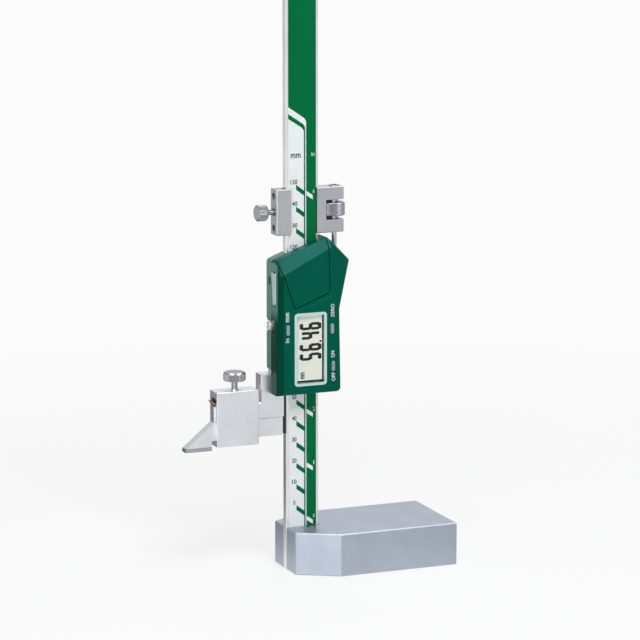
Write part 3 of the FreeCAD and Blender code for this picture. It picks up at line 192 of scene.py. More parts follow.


# Glossy casing: plain and deep from the front, paler where it turns away and mirrors the studio,
# with a painted reflection as a paler strip on its left side above the lock screw, and painted shade on its left
# edge
def glossyCasing(look):
    finish = Finish("casingGreen")
    place = finish.node("ShaderNodeTexCoord").outputs["Object"]
    parts = finish.node("ShaderNodeSeparateXYZ", None, {0: place}).outputs
    across, upward = Wire(finish, parts[0]), Wire(finish, parts[2])
    # painted reflection: the left side face turns paler above the lock screw
    paintedReflectionMask = (finish.spread(across, 1.0, 0.0, *look["paintedReflectionAt"])
            * finish.spread(upward, 0.0, 1.0, *look["paintedReflectionAbove"]))
    # painted shade: darker green from the front's left edge outward
    edge = finish.spread(across, 1.0, 0.0, *look["paintedEdgeShadeAt"])
    green = finish.blend(flowMarks(finish), shade(look["colour"], 1 - look["contrast"]),
                         shade(look["colour"], 1 + look["contrast"]))
    green = finish.blend(edge, green, look["edge"])
    peel = finish.bump(finish.noise(look["peel"], plasticGrain["detail"]), plasticGrain["height"],
                       look["peelDepth"])
    rough = smudged(finish, look["rough"])
    body = finish.principled({
        "Base Color": finish.blend(paintedReflectionMask, green, look["side"]), "Roughness": rough,
        "Specular IOR Level": look["level"], "Specular Tint": look["tint"], "Normal": peel})
    mirror = finish.principled({"Base Color": look["mirror"], "Metallic": 1.0, "Roughness": rough, "Normal": peel})
    away = Wire(finish, finish.node("ShaderNodeLayerWeight", None, {"Blend": 0.5}).outputs["Facing"])
    amount = finish.spread(away, 0.0, look["sheen"], look["sheenStart"], look["sheenEnd"])
    return finish.end(finish.node("ShaderNodeMixShader", None,
                                  {0: amount, 1: body, 2: mirror}).outputs[0])


panelLook = {"left": (0.60, 0.62, 0.585, 1), "right": (0.61, 0.645, 0.54, 1), "from": -0.0365, "to": -0.029,
             "grain": 1500, "grainRange": (0.97, 1.03), "gloss": 400, "glossRange": (0.42, 0.52), "level": 0.15,
             "peel": 3000, "height": 0.000005, "depth": 0.1}


# The display's panel goes from cool grey on its left to a warm yellow green on its right
def displayPanel(look):
    finish = Finish("displayPanel")
    place = finish.node("ShaderNodeTexCoord").outputs["Object"]
    across = Wire(finish, finish.node("ShaderNodeSeparateXYZ", None, {0: place}).outputs[0])
    ramp = finish.spread(across, 0.0, 1.0, look["from"], look["to"])
    grain = finish.spread(finish.noise(look["grain"], 2.0), *look["grainRange"])
    toned = finish.node("ShaderNodeVectorMath", {"operation": "SCALE"},
                        {0: finish.blend(ramp, look["left"], look["right"]), 3: grain})
    return finish.end(finish.principled({
        "Base Color": toned.outputs[0],
        "Roughness": finish.spread(finish.noise(look["gloss"]), *look["glossRange"]),
        "Specular IOR Level": look["level"],
        "Normal": finish.bump(finish.noise(look["peel"]), look["height"], look["depth"])}))


windowLook = {"smear": 300, "dull": (0.90, 0.93, 0.92, 1), "clean": (0.96, 0.98, 0.97, 1),
              "glossRange": (0.04, 0.10), "alpha": 0.015, "level": 0.3}


# The display's window: nearly clear, with a thin reflection and a trace of wiping
def clearWindow(look):
    finish = Finish("clearWindow")
    smear = finish.noise(look["smear"])
    return finish.end(finish.principled({
        "Base Color": finish.blend(finish.spread(smear, 0.0, 1.0), look["dull"], look["clean"]),
        "Roughness": finish.spread(smear, *look["glossRange"]), "Alpha": look["alpha"],
        "Specular IOR Level": look["level"]}))


finishes = {
    "base_steel": machined("groundBaseSteel", (0.44, 0.49, 0.57), 0.40, (0.06, 1, 1)),
    "column_steel": machined("columnSteel", (0.86, 0.86, 0.86), 0.34, (1, 1, 0.05)),
    "jaw_steel": machined("jawSteel", (0.82, 0.845, 0.89), 0.32),
    "carriage_steel": machined("carriageSteel", (0.50, 0.52, 0.55), 0.40),
    "screw_steel": machined("turnedScrewSteel", (0.50, 0.51, 0.54), 0.24, (1, 1, 0.3)),
    "knob_chrome": machined("knurledChrome", (0.37, 0.39, 0.42), 0.28, (1, 1, 0.3), 0.2),
    # painted highlight: steel made near white for the lock screw
    "paintedHighlightSteel": machined("paintedHighlightSteel", (0.97, 0.97, 0.98), 0.46, (1, 1, 0.3), 0.2, 0.03),
    "knurledSteel": machined("knurledSteel", (0.35, 0.36, 0.39), 0.42, (1, 1, 0.3), 0.3),
    "tip_carbide": machined("groundCarbide", (0.44, 0.46, 0.50), 0.30, (0.06, 1, 1)),
    "bezel_silver": machined("bezelSilver", (0.66, 0.88, 0.82), 0.34, (1, 1, 0.2), 0.1, 0.04),
    "cell_steel": machined("cellCan", (0.70, 0.70, 0.71), 0.24, (1, 1, 1), 0.1),
    "switch_metal": machined("switchDome", (0.66, 0.66, 0.66), 0.25, (1, 1, 1), 0.1),
    "contact_metal": machined("contactNickel", (0.62, 0.60, 0.55), 0.30, (1, 1, 1), 0.1),
    "gib_bronze": machined("gibBronze", (0.34, 0.22, 0.17), 0.36),
    "pad_brass": machined("padBrass", (0.66, 0.46, 0.18), 0.32, (1, 1, 1)),
    # black oxide for the screws, also the painted shade in the small side slot
    "screw_black": moulded("blackOxideAndShade", (0.02, 0.02, 0.022), 0.42, 0.5, 0.2, 0.2),
    "rear_casing_green": moulded("rearCasingGreen", (0.085, 0.225, 0.185), 0.34, 0.35),
    "label_film": moulded("labelGreen", (0.0005, 0.118, 0.038), 0.30, 0.04, 0.08, 0.03),
    "board": moulded("boardLaminate", (0.03, 0.16, 0.06), 0.38, 0.4, 0.2),
    "connector_rubber": moulded("connectorRubber", (0.42, 0.16, 0.17), 0.7, 0.3, 0.3),
    "button_grey": moulded("buttonGrey", (0.21, 0.255, 0.32), 0.46, 0.3, 0.3),
    "port_cover_grey": moulded("portCoverGrey", (0.45, 0.53, 0.53), 0.35, 0.4, 0.15),
    "casing_green": glossyCasing(casingLook),
    "lcd_glass": displayPanel(panelLook),
    "clear_window": clearWindow(windowLook),
    # white print, also used for the painted highlight inside the display's recess
    "printWhiteAndHighlight": moulded("printWhiteAndHighlight", (0.65, 0.68, 0.695), 0.36, 0.10, 0.08, 0.02),
    "printGreen": moulded("printGreen", (0.0005, 0.112, 0.038), 0.36, 0.05, 0.08, 0.03),
    "printDark": moulded("printDark", (0.040, 0.105, 0.075), 0.40, 0.10, 0.08, 0.05),
    # painted highlight: the ribs share the casing's green, made paler here
    "coverReliefHighlight": moulded("coverReliefHighlight", (0.001, 0.115, 0.080), 0.24, 0.08),
    # the display's ink, also used for the painted shade along its recess
    "displayInkAndShade": moulded("displayInkAndShade", (0.0015, 0.0015, 0.0012), 0.50, 0.05, 0.05, 0.3),
}
for name, node in nodes.items():
    node.data.materials.clear()
    node.data.materials.append(finishes[slotOf[name]])
print("finishes ready:", len(finishes))


# Turns a bmesh into a mesh and frees it
def toMesh(bm, name):
    mesh = bpy.data.meshes.new(name)
    bm.to_mesh(mesh)
    bm.free()
    return mesh


# Puts a finished mesh into the scene, on its body, in place of the nodes it stands for
def addPiece(name, mesh, look, body, replaced=()):
    piece = bpy.data.objects.new(name, mesh)
    scene.collection.objects.link(piece)
    mesh.materials.clear()
    mesh.materials.append(finishes[look])
    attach(piece, body)
    if replaced:
        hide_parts(*replaced)


# Soft shading, with sharp edges kept where faces meet at more than the given angle
def smoothBelow(bm, degrees):
    for face in bm.faces:
        face.smooth = True
    for edge in bm.edges:
        edge.smooth = len(edge.link_faces) == 2 and edge.calc_face_angle(0.0) < math.radians(degrees)


smoothed = {
    "angle": 28.0, "merge": 2e-6,
    "pieces": {
        "base": "baseBlock", "slider_frame": "sliderFrame", "rear_casing": "greenRearCasing",
        "front_casing": "greenFrontCasing", "battery_cover": "greenBatteryCover", "lcd_bezel": "silverBezel",
        "button_unit": "unitButton", "button_zero": "zeroButton", "button_power": "powerButton",
        "data_port_cover": "portCover", "battery_cell": "batteryCell", "casing_screws": "casingScrews",
        "column_screws": "columnScrews", "stop_screw": "stopScrew", "slider_gib_screws": "sliderGibScrews",
        "lock_screw": "lockScrew", "fine_screw": "fineScrew", "carriage": "carriageBody",
        "carriage_bush": "carriageBush", "carriage_gib_screws": "carriageGibScrews", "clamp_box": "clampBox",
        "clamp_plate": "clampPlate", "scriber": "scriberArm",
    },
}


# Lets the large faces keep their own direction, so that only the round edges are shaded softly
def weighted(mesh):
    holder = bpy.data.objects.new("weighted", mesh)
    scene.collection.objects.link(holder)
    change = holder.modifiers.new("weighted", "WEIGHTED_NORMAL")
    change.mode = "FACE_AREA"
    change.keep_sharp = True
    graph = bpy.context.evaluated_depsgraph_get()
    made = bpy.data.meshes.new_from_object(holder.evaluated_get(graph))
    bpy.data.objects.remove(holder)
    return made


# Merged copies of the CAD nodes with soft shading, so that their round edges read as round
for node, name in smoothed["pieces"].items():
    bm = bmesh.new()
    bm.from_mesh(nodes[node].data)
    bmesh.ops.remove_doubles(bm, verts=bm.verts, dist=smoothed["merge"])
    smoothBelow(bm, smoothed["angle"])
    addPiece(name, weighted(toMesh(bm, name)), lookOf.get(node, slotOf[node]), bodyOf[node],
             (node,))
print("smooth copies:", len(smoothed["pieces"]))


# A thin printed area in the XZ plane: points in mm, the corners numbered in rounded get a radius
def printedArea(bm, points, back, thickness, rounded=(), radius=0.0):
    single = bmesh.new()
    corners = [single.verts.new((x * mm, back * mm, z * mm)) for x, z in points]
    face = single.faces.new(corners)
    if rounded:
        bmesh.ops.bevel(single, geom=[corners[i] for i in rounded], offset=radius * mm, offset_type="OFFSET",
                        segments=8, profile=0.5, affect="VERTICES", material=-1)
        face = max(single.faces, key=lambda candidate: candidate.calc_area())
    raised = bmesh.ops.extrude_face_region(single, geom=[face])["geom"]
    moved = [vert for vert in raised if isinstance(vert, bmesh.types.BMVert)]
    bmesh.ops.translate(single, verts=moved, vec=(0, -thickness * mm, 0))
    bmesh.ops.recalc_face_normals(single, faces=single.faces)
    part = toMesh(single, "area")
    bm.from_mesh(part)
    bpy.data.meshes.remove(part)


# The corners of a mark with upright ends, whose long sides slope down to the right
def slanted(left, right, top, tall, slope):
    drop = (right - left) * slope
    return [(left, top), (left, top - tall), (right, top - tall + drop), (right, top + drop)]


scalePrint = {
    "middle": -30.5, "front": -1.9, "layer": 0.02, "halfWidth": 6.75, "bottom": 19.1,
    "whiteRight": 0.9, "whiteTopLeft": 210.5, "whiteSlope": -0.65, "corner": 1.6,
    "lineLeft": 1.58, "lineRight": 2.0, "stripeTop": 215.9, "stripeBottom": 212.85, "stripeSlope": -0.68,
    "marks": 16, "markStep": 10, "zeroHeight": 30.2, "markLeft": -2.95, "markTall": 2.3, "markSlope": -0.74,
    "markLap": 0.02,
    "inches": 7, "inchZero": 24.65, "inchLeft": 2.2, "inchRight": 5.25, "inchTall": 1.95, "inchSlope": -0.68,
}


# The film's print: white field, white line with its stripe, inch marks, and green marks on the white
def printScale(look):
    middle, left = look["middle"], look["middle"] - look["halfWidth"]
    whiteRight = middle + look["whiteRight"]
    whiteTop = look["whiteTopLeft"] + (whiteRight - left) * look["whiteSlope"]
    lineLeft, lineRight = middle + look["lineLeft"], middle + look["lineRight"]
    white = bmesh.new()
    printedArea(white, [(left, look["bottom"]), (whiteRight, look["bottom"]), (whiteRight, whiteTop),
                        (left, look["whiteTopLeft"])], look["front"], look["layer"], (2,), look["corner"])
    # the white line beside the inch band, which turns into the stripe at the top
    outer = look["stripeTop"] + (lineRight - left) * look["stripeSlope"]
    inner = look["stripeBottom"] + (lineLeft - left) * look["stripeSlope"]
    printedArea(white, [(left, look["stripeBottom"]), (lineLeft, inner), (lineLeft, look["bottom"]),
                        (lineRight, look["bottom"]), (lineRight, outer), (left, look["stripeTop"])],
                look["front"], look["layer"], (1, 4), look["corner"])
    for step in range(look["inches"]):
        printedArea(white, slanted(middle + look["inchLeft"], middle + look["inchRight"],
                                   look["inchZero"] + inch * step, look["inchTall"], look["inchSlope"]),
                    look["front"], look["layer"])
    addPiece("scaleWhite", toMesh(white, "scaleWhite"), "printWhiteAndHighlight", "stand")
    green = bmesh.new()
    for step in range(look["marks"]):
        printedArea(green, slanted(middle + look["markLeft"], whiteRight + look["markLap"],
                                   look["zeroHeight"] + look["markStep"] * step, look["markTall"],
                                   look["markSlope"]),
                    look["front"] - look["layer"], look["layer"])
    addPiece("scaleGreenMarks", toMesh(green, "scaleGreenMarks"), "printGreen", "stand")


printScale(scalePrint)


# Printed words in the XZ plane, each scaled to its box: (text, middle x, middle z, width, height, turned)
def lettering(name, words, look, body, front, weight=0.0, thickness=0.02):
    bm = bmesh.new()
    for text, x, z, width, height, turned in words:
        curve = bpy.data.curves.new("lettering", "FONT")
        curve.body = text
        curve.extrude = 0.5
        curve.offset = weight
        holder = bpy.data.objects.new("lettering", curve)
        scene.collection.objects.link(holder)
        graph = bpy.context.evaluated_depsgraph_get()
        mesh = bpy.data.meshes.new_from_object(holder.evaluated_get(graph))
        low = [min(vert.co[axis] for vert in mesh.vertices) for axis in (0, 1)]
        high = [max(vert.co[axis] for vert in mesh.vertices) for axis in (0, 1)]
        mesh.transform(Matrix.Translation((-(low[0] + high[0]) / 2, -(low[1] + high[1]) / 2, 0)))
        mesh.transform(Matrix.Diagonal((width / (high[0] - low[0]) * mm, height / (high[1] - low[1]) * mm,
                                        thickness * mm, 1)))
        if turned:
            mesh.transform(Matrix.Rotation(math.radians(90), 4, "Z"))
        mesh.transform(Matrix.Rotation(math.radians(90), 4, "X"))
        mesh.transform(Matrix.Translation((x * mm, (front - thickness / 2) * mm, z * mm)))
        bm.from_mesh(mesh)
        bpy.data.objects.remove(holder)
        bpy.data.curves.remove(curve)
        bpy.data.meshes.remove(mesh)
    bmesh.ops.remove_doubles(bm, verts=bm.verts, dist=1e-7)
    addPiece(name, toMesh(bm, name), look, body)


numberPrint = {"middle": -4.0, "above": 1.3, "tall": 2.1, "digit": 1.02, "gap": 0.2, "weight": 0.03,
               "unitAt": (-3.1, 193.5), "unitSize": (4.9, 2.1),
               "inchMiddle": 5.7, "inchAbove": -0.2, "inchTall": 1.8, "inchDigit": 0.75, "oneShare": 0.5,
               "inchUnitAt": (5.35, 193.9), "inchUnitSize": (1.5, 1.8)}


# The numbers beside the marks, in millimetres on the left and in inches on the right
def printNumbers(look, scale):
    numbers = []
    for step in range(scale["marks"]):
        rise = scale["markStep"] * step
        text = str(rise)
        width = len(text) * look["digit"] + (len(text) - 1) * look["gap"]
        numbers.append((text, scale["middle"] + look["middle"], scale["zeroHeight"] + rise + look["above"],
                        width, look["tall"], False))
    numbers.append(("mm", scale["middle"] + look["unitAt"][0], look["unitAt"][1], *look["unitSize"], False))
    lettering("scaleNumbers", numbers, "printDark", "stand", scale["front"] - scale["layer"],
              look["weight"])
    inches = []
    for step in range(scale["inches"]):
        width = look["inchDigit"] * (look["oneShare"] if step == 1 else 1.0)
        inches.append((str(step), scale["middle"] + look["inchMiddle"],
                       scale["inchZero"] + inch * step + look["inchAbove"], width, look["inchTall"], False))
    inches.append(("in", scale["middle"] + look["inchUnitAt"][0], look["inchUnitAt"][1], *look["inchUnitSize"],
                   False))
    lettering("scaleInches", inches, "printWhiteAndHighlight", "stand", scale["front"])


printNumbers(numberPrint, scalePrint)
print("scale printed")

buttonPrint = {
    "words": [("mm", -41.1, 120.8, 4.3, 1.6, True), ("in", -41.25, 110.0, 2.0, 1.9, True),
              ("ZERO", -18.9, 122.45, 6.1, 1.65, True), ("ON", -18.8, 102.1, 3.0, 1.75, True),
              ("OFF", -18.5, 91.5, 4.0, 1.75, True)],
    "weight": 0.008,
}
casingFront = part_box("front_casing")[0].y / mm
lettering("buttonWords", buttonPrint["words"], "printWhiteAndHighlight", "slider", casingFront,
          buttonPrint["weight"])

digitPrint = {
    "digits": "5646", "starts": (99.70, 104.10, 109.50, 113.90), "width": 3.5, "left": -34.65, "right": -23.85,
    "layer": 0.01, "bars": 1.80, "strokes": 1.28, "gap": 0.1, "blunt": 0.45,
    "point": (-24.3, 108.35, 0.62), "pointFlat": 0.8, "pointSides": 12,
    "segments": {"5": "afgcd", "6": "afgecd", "4": "fgbc"},
    "unit": ("mm", -33.15, 92.8, 3.1, 1.9, True), "unitWeight": 0.045,
    # the frame lines are painted shade of the recess walls, with a painted highlight just inside them
    "frameRight": -22.6, "frameBottom": 89.5, "frameLeft": -36.0, "frameTop": 120.9, "shadeWide": 1.0,
    "highlightGap": 0.05, "highlightWide": 0.4,
}


# A display stroke with blunt pointed ends from a to b, as points in mm
def stroke(ax, az, bx, bz, half, blunt):
    length = math.hypot(bx - ax, bz - az)
    dx, dz = (bx - ax) / length * half, (bz - az) / length * half
    inX, inZ = dx * blunt, dz * blunt
    return [(ax, az), (ax + inX - dz, az + inZ + dx), (bx - inX - dz, bz - inZ + dx), (bx, bz),
            (bx - inX + dz, bz - inZ - dx), (ax + inX + dz, az + inZ - dx)]


# An L along the display's right side and foot, its outer edge inset from the frame's, drawn as painted shade of
# the recess walls and as the painted highlight inside it
def cornerLine(bm, look, inset, wide, front):
    right, foot = look["frameRight"] - inset, look["frameBottom"] + inset
    printedArea(bm, [(right - wide, foot), (right, foot), (right, look["frameTop"]),
                     (right - wide, look["frameTop"])], front, look["layer"])
    printedArea(bm, [(look["frameLeft"], foot), (right - wide, foot), (right - wide, foot + wide),
                     (look["frameLeft"], foot + wide)], front, look["layer"])


# The digits read upwards, so their tops point left: x runs down a digit and z along the number
def drawDisplay(look):
    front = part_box("lcd_panel")[0].y / mm
    inkAndShade = bmesh.new()
    top, bottom = look["left"] + look["bars"] / 2, look["right"] - look["bars"] / 2
    middle = (top + bottom) / 2
    for start, digit in zip(look["starts"], look["digits"]):
        low, high = start + look["strokes"] / 2, start + look["width"] - look["strokes"] / 2
        ends = {"a": (top, low, top, high), "g": (middle, low, middle, high), "d": (bottom, low, bottom, high),
                "f": (top, low, middle, low), "b": (top, high, middle, high),
                "e": (middle, low, bottom, low), "c": (middle, high, bottom, high)}
        for segment in look["segments"][digit]:
            ax, az, bx, bz = ends[segment]
            if segment in "agd":
                wide, az, bz = look["bars"], az - look["strokes"] / 4, bz + look["strokes"] / 4
            else:
                wide, ax, bx = look["strokes"], ax + look["gap"], bx - look["gap"]
            printedArea(inkAndShade, stroke(ax, az, bx, bz, wide / 2, look["blunt"]), front, look["layer"])
    pointX, pointZ, radius = look["point"]
    turns = [math.tau * i / look["pointSides"] for i in range(look["pointSides"])]
    printedArea(inkAndShade, [(pointX + radius * math.cos(turn), pointZ + radius * look["pointFlat"] * math.sin(turn))
                      for turn in turns], front, look["layer"])
    # painted shade: a dark L where the recess walls shade the panel's right side and foot
    cornerLine(inkAndShade, look, 0.0, look["shadeWide"], front)
    addPiece("displayDigitsAndShade", toMesh(inkAndShade, "displayDigitsAndShade"), "displayInkAndShade", "slider")
    # painted highlight: a pale L just inside the painted shade of the recess
    line = bmesh.new()
    cornerLine(line, look, look["shadeWide"] + look["highlightGap"], look["highlightWide"], front)
    addPiece("displayHighlight", toMesh(line, "displayHighlight"), "printWhiteAndHighlight", "slider")
    lettering("displayUnit", [look["unit"]], "displayInkAndShade", "slider", front, look["unitWeight"],
              look["layer"])


drawDisplay(digitPrint)
print("display drawn")

coverChevron = {"points": [(-32.7, 146.2), (-28.8, 143.0), (-23.1, 146.1)], "wide": 0.3, "proud": 0.1}
coverFootLine = {"points": [(-36.4, 122.6), (-19.3, 129.4)], "wide": 0.3, "proud": 0.1}


# A fine raised line on the casing's front, in a paler green that is a painted highlight
def makeRib(name, look, body):
    bm = bmesh.new()
    half = look["wide"] / 2
    upper = [(x, z + half) for x, z in look["points"]]
    lower = [(x, z - half) for x, z in reversed(look["points"])]
    printedArea(bm, upper + lower, casingFront, look["proud"])
    addPiece(name, toMesh(bm, name), "coverReliefHighlight", body)


makeRib("coverChevron", coverChevron, "battery_lid")
makeRib("coverFootLine", coverFootLine, "slider")

sideSlotShade = {"low": (-45.6, -1.65, 134.75), "high": (-44.6, 1.05, 138.25), "edge": 0.2}


# A dark block set back in the small slot of the unit's left side: painted shade filling the slot
def makeSidePlug(look):
    low, high = Vector(look["low"]) * mm, Vector(look["high"]) * mm
    bm = bmesh.new()
    bmesh.ops.create_cube(bm, size=1.0)
    bmesh.ops.scale(bm, verts=bm.verts, vec=high - low)
    bmesh.ops.translate(bm, verts=bm.verts, vec=(low + high) / 2)
    bmesh.ops.bevel(bm, geom=bm.edges, offset=look["edge"] * mm, offset_type="OFFSET", segments=2, profile=0.5,
                    affect="EDGES", material=-1)
    addPiece("sideSlotShade", toMesh(bm, "sideSlotShade"), "screw_black", "slider")


makeSidePlug(sideSlotShade)
print("cover ribs and side plug made")


# A disc about Z from low to high with straight teeth on its rim and a chamfer at each end, in mm
def knurledDisc(bm, look, low, high):
    teeth, radius, chamfer = look["teeth"], look["radius"], look["chamfer"]
    circle = bmesh.ops.create_circle(bm, cap_ends=True, radius=(radius - chamfer[0]) * mm, segments=teeth * 2)
    bmesh.ops.translate(bm, verts=circle["verts"], vec=(0, 0, low * mm))
    cap = circle["verts"][0].link_faces[0]
    rings = [(radius, low + chamfer[0], True), (radius, high - chamfer[1], True),
             (radius - chamfer[1], high, False)]
    for target, height, toothed in rings:
        raised = bmesh.ops.extrude_face_region(bm, geom=[cap])["geom"]
        ring = [vert for vert in raised if isinstance(vert, bmesh.types.BMVert)]
        cap = [face for face in raised if isinstance(face, bmesh.types.BMFace)][0]
        for vert in ring:
            reach = math.hypot(vert.co.x, vert.co.y)
            turn = round(math.atan2(vert.co.y, vert.co.x) / (math.pi / teeth))
            wanted = (target - (look["depth"] if toothed and turn % 2 else 0.0)) * mm
            vert.co.x *= wanted / reach
            vert.co.y *= wanted / reach
            vert.co.z = height * mm


shaft = {"sides": 40, "lap": 0.1}


# A knob's shank or hub: a round bar about Z that laps into its disc
def pin(bm, radius, low, high):
    made = bmesh.ops.create_cone(bm, cap_ends=True, segments=shaft["sides"], radius1=radius * mm,
                                 radius2=radius * mm, depth=(high - low) * mm)
    bmesh.ops.translate(bm, verts=made["verts"], vec=(0, 0, (low + high) / 2 * mm))


# Turns a finished knob by degrees about Y, moves it to its place and adds it for its node
def addKnob(name, node, bm, turn, place):
    if turn:
        bmesh.ops.rotate(bm, verts=bm.verts, cent=(0, 0, 0), matrix=Matrix.Rotation(math.radians(turn), 3, "Y"))
    bmesh.ops.translate(bm, verts=bm.verts, vec=place)
    bmesh.ops.recalc_face_normals(bm, faces=bm.faces)
    smoothBelow(bm, smoothed["angle"])
    addPiece(name, toMesh(bm, name), lookOf.get(node, slotOf[node]), bodyOf[node], (node,))


clampKnob = {"radius": 5.15, "tall": 4.0, "chamfer": (0.3, 0.7), "teeth": 44, "depth": 0.25, "shank": 1.4}


def makeClampKnob(look):
    low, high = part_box("clamp_screw")
    bm = bmesh.new()
    knurledDisc(bm, look, high.z / mm - look["tall"], high.z / mm)
    pin(bm, look["shank"], low.z / mm, high.z / mm - look["tall"] + shaft["lap"])
    addKnob("clampKnob", "clamp_screw", bm, 0, ((low.x + high.x) / 2, (low.y + high.y) / 2, 0))


makeClampKnob(clampKnob)

fineWheel = {"radius": 4.9, "tall": 6.0, "chamfer": (0.3, 0.3), "teeth": 54, "depth": 0.2, "hub": 1.85}


def makeFineWheel(look):
    low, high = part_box("fine_nut")
    centre, half = (low.z + high.z) / 2 / mm, look["tall"] / 2
    bm = bmesh.new()
    knurledDisc(bm, look, centre - half, centre + half)
    pin(bm, look["hub"], centre + half - shaft["lap"], high.z / mm)
    pin(bm, look["hub"], low.z / mm, centre - half + shaft["lap"])
    addKnob("fineWheel", "fine_nut", bm, 0, ((low.x + high.x) / 2, (low.y + high.y) / 2, 0))


makeFineWheel(fineWheel)

carriageKnob = {"radius": 3.8, "tall": 5.1, "chamfer": (0.7, 0.7), "teeth": 34, "depth": 0.22, "shank": 1.2}


def makeCarriageKnob(look):
    low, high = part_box("carriage_clamp_screw")
    bm = bmesh.new()
    knurledDisc(bm, look, 0.0, look["tall"])
    pin(bm, look["shank"], look["tall"] - shaft["lap"], (high.x - low.x) / mm)
    addKnob("carriageKnob", "carriage_clamp_screw", bm, 90, (low.x, (low.y + high.y) / 2, (low.z + high.z) / 2))


makeCarriageKnob(carriageKnob)
print("knobs made")

stageLook = {"paper": (0.84, 0.845, 0.85, 1), "paperGrain": 3, "paperSwing": 1.02, "size": 8.0, "white": 0.965,
             "nearShare": 0.75, "nearRadius": 0.20, "farRadius": 0.55,
             "mirrorNear": 0.03, "mirrorFar": 0.15, "mirrorShare": 0.92,
             "clearNear": 0.56, "clearFar": 0.80, "clearLeft": 0.15,
             "liftFrom": 0.18, "liftTo": 0.45, "worldLight": 0.36,
             "boards": [{"toward": (-0.60, 0.80), "from": 0.50, "to": 0.95, "end": 0.15},
                        {"toward": (0.37, -0.93), "from": 0.20, "to": 0.90, "end": 0.80},
                        {"toward": (1.0, 0.0), "from": 0.45, "to": 0.95, "end": 0.55}]}


# What polished metal mirrors, by the direction from the object: white, less what each darker board takes
def mirrorLevel(finish, place, look):
    flat = finish.node("ShaderNodeVectorMath", {"operation": "MULTIPLY"}, {0: place, 1: (1, 1, 0)}).outputs[0]
    unit = finish.node("ShaderNodeVectorMath", {"operation": "NORMALIZE"}, {0: flat}).outputs[0]
    parts = finish.node("ShaderNodeSeparateXYZ", None, {0: unit}).outputs
    across, along = Wire(finish, parts[0]), Wire(finish, parts[1])
    level = look["white"]
    for board in look["boards"]:
        facing = across * board["toward"][0] + along * board["toward"][1]
        level = finish.spread(facing, 1.0, board["end"], board["from"], board["to"]) * level
    return level


# The plain pale floor, which keeps the object's shadow
def makeFloor(look):
    bm = bmesh.new()
    bmesh.ops.create_grid(bm, x_segments=1, y_segments=1, size=look["size"] / 2)
    floor = bpy.data.objects.new("floor", toMesh(bm, "floor"))
    scene.collection.objects.link(floor)
    finish = Finish("floorPaper")
    tone = finish.spread(finish.noise(look["paperGrain"]), 0.0, 1.0)
    plain = finish.node("ShaderNodeBsdfDiffuse", None,
                        {"Color": finish.blend(tone, look["paper"], shade(look["paper"], look["paperSwing"]))})
    # far from the object the paper shows plain white, near it the shadow stays
    place = finish.node("ShaderNodeTexCoord").outputs["Object"]
    away = Wire(finish, finish.node("ShaderNodeVectorMath", {"operation": "LENGTH"}, {0: place}).outputs[1])
    share = finish.spread(away, look["nearShare"], 1.0, look["nearRadius"], look["farRadius"])
    far = (finish.spread(away, 0.0, 1.0, look["mirrorNear"], look["mirrorFar"])
           * finish.spread(away, 1.0, look["clearLeft"], look["clearNear"], look["clearFar"]))
    rays = finish.node("ShaderNodeLightPath").outputs
    glossy = Wire(finish, rays["Is Glossy Ray"])
    clear = Wire(finish, rays["Is Transmission Ray"])
    darker = (mirrorLevel(finish, place, look) - look["white"]) * far * glossy
    glow = finish.node("ShaderNodeEmission", None, {"Strength": darker + look["white"]})
    seen = Wire(finish, rays["Is Camera Ray"]) * share + glossy * look["mirrorShare"] + clear * look["nearShare"]
    floor.data.materials.append(finish.end(finish.node(
        "ShaderNodeMixShader", None, {0: seen, 1: plain.outputs[0], 2: glow.outputs[0]}).outputs[0]))


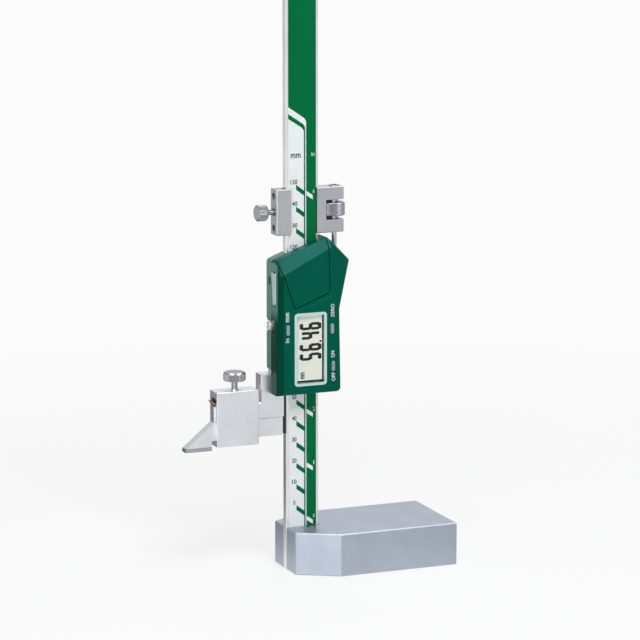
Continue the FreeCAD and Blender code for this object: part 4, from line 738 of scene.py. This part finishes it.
# The studio round the object: white to the eye, softer as light, with the darker boards in its mirror
def makeWorld(look):
    scene.world = bpy.data.worlds.new("studio")
    finish = Finish("studio", scene.world)
    rays = finish.node("ShaderNodeLightPath").outputs
    glossy = Wire(finish, rays["Is Glossy Ray"])
    seen = Wire(finish, rays["Is Camera Ray"]) + Wire(finish, rays["Is Transmission Ray"])
    direction = finish.node("ShaderNodeTexCoord").outputs["Generated"]
    upward = Wire(finish, finish.node("ShaderNodeSeparateXYZ", None, {0: direction}).outputs[2])
    boards = finish.spread(upward, 1.0, 0.0, look["liftFrom"], look["liftTo"])
    mirrored = (mirrorLevel(finish, direction, look) - look["white"]) * boards + look["white"]
    level = (seen * (look["white"] - look["worldLight"]) + glossy * (mirrored - look["worldLight"])
             + look["worldLight"])
    finish.end(finish.node("ShaderNodeBackground", None, {"Strength": level}).outputs[0],
               "ShaderNodeOutputWorld")


makeFloor(stageLook)
makeWorld(stageLook)
print("floor and studio ready")

lamps = {
    "keySoftbox": {"at": (-0.114, -0.836, 1.268), "aim": (-0.03, 0, 0.145), "size": (0.7, 0.5), "power": 14.0},
    "leftSoftbox": {"at": (-0.75, -0.98, 0.22), "aim": (-0.03, 0, 0.02), "size": (0.4, 0.3), "power": 3.9},
    "backSoftbox": {"at": (0.30, 0.90, 1.50), "aim": (0, 0, 0.10), "size": (0.8, 0.8), "power": 4.0},
    "topSoftbox": {"at": (0.30, 0.10, 1.40), "aim": (0, 0, 0.10), "size": (0.9, 0.9), "power": 4.0},
}
for name, lamp in lamps.items():
    light = bpy.data.lights.new(name, "AREA")
    light.shape = "RECTANGLE"
    light.size, light.size_y = lamp["size"]
    light.energy = lamp["power"]
    holder = bpy.data.objects.new(name, light)
    scene.collection.objects.link(holder)
    holder.location = lamp["at"]
    holder.rotation_euler = (Vector(lamp["aim"]) - Vector(lamp["at"])).to_track_quat("-Z", "Y").to_euler()
    holder.visible_camera = False

view = {"at": (-0.62809, -1.47562, 0.42590), "yaw": 22.367, "pitch": 10.981, "lens": 198.71, "sensor": 36.0,
        "near": 0.05}
cameraData = bpy.data.cameras.new("photoCamera")
cameraData.lens = view["lens"]
cameraData.sensor_width = view["sensor"]
cameraData.sensor_fit = "HORIZONTAL"
cameraData.clip_start = view["near"]
camera = bpy.data.objects.new("photoCamera", cameraData)
scene.collection.objects.link(camera)
camera.location = view["at"]
camera.rotation_euler = (math.radians(90 - view["pitch"]), 0, math.radians(-view["yaw"]))
scene.camera = camera
scene.view_settings.view_transform = "Standard"
print("lamps and camera set")
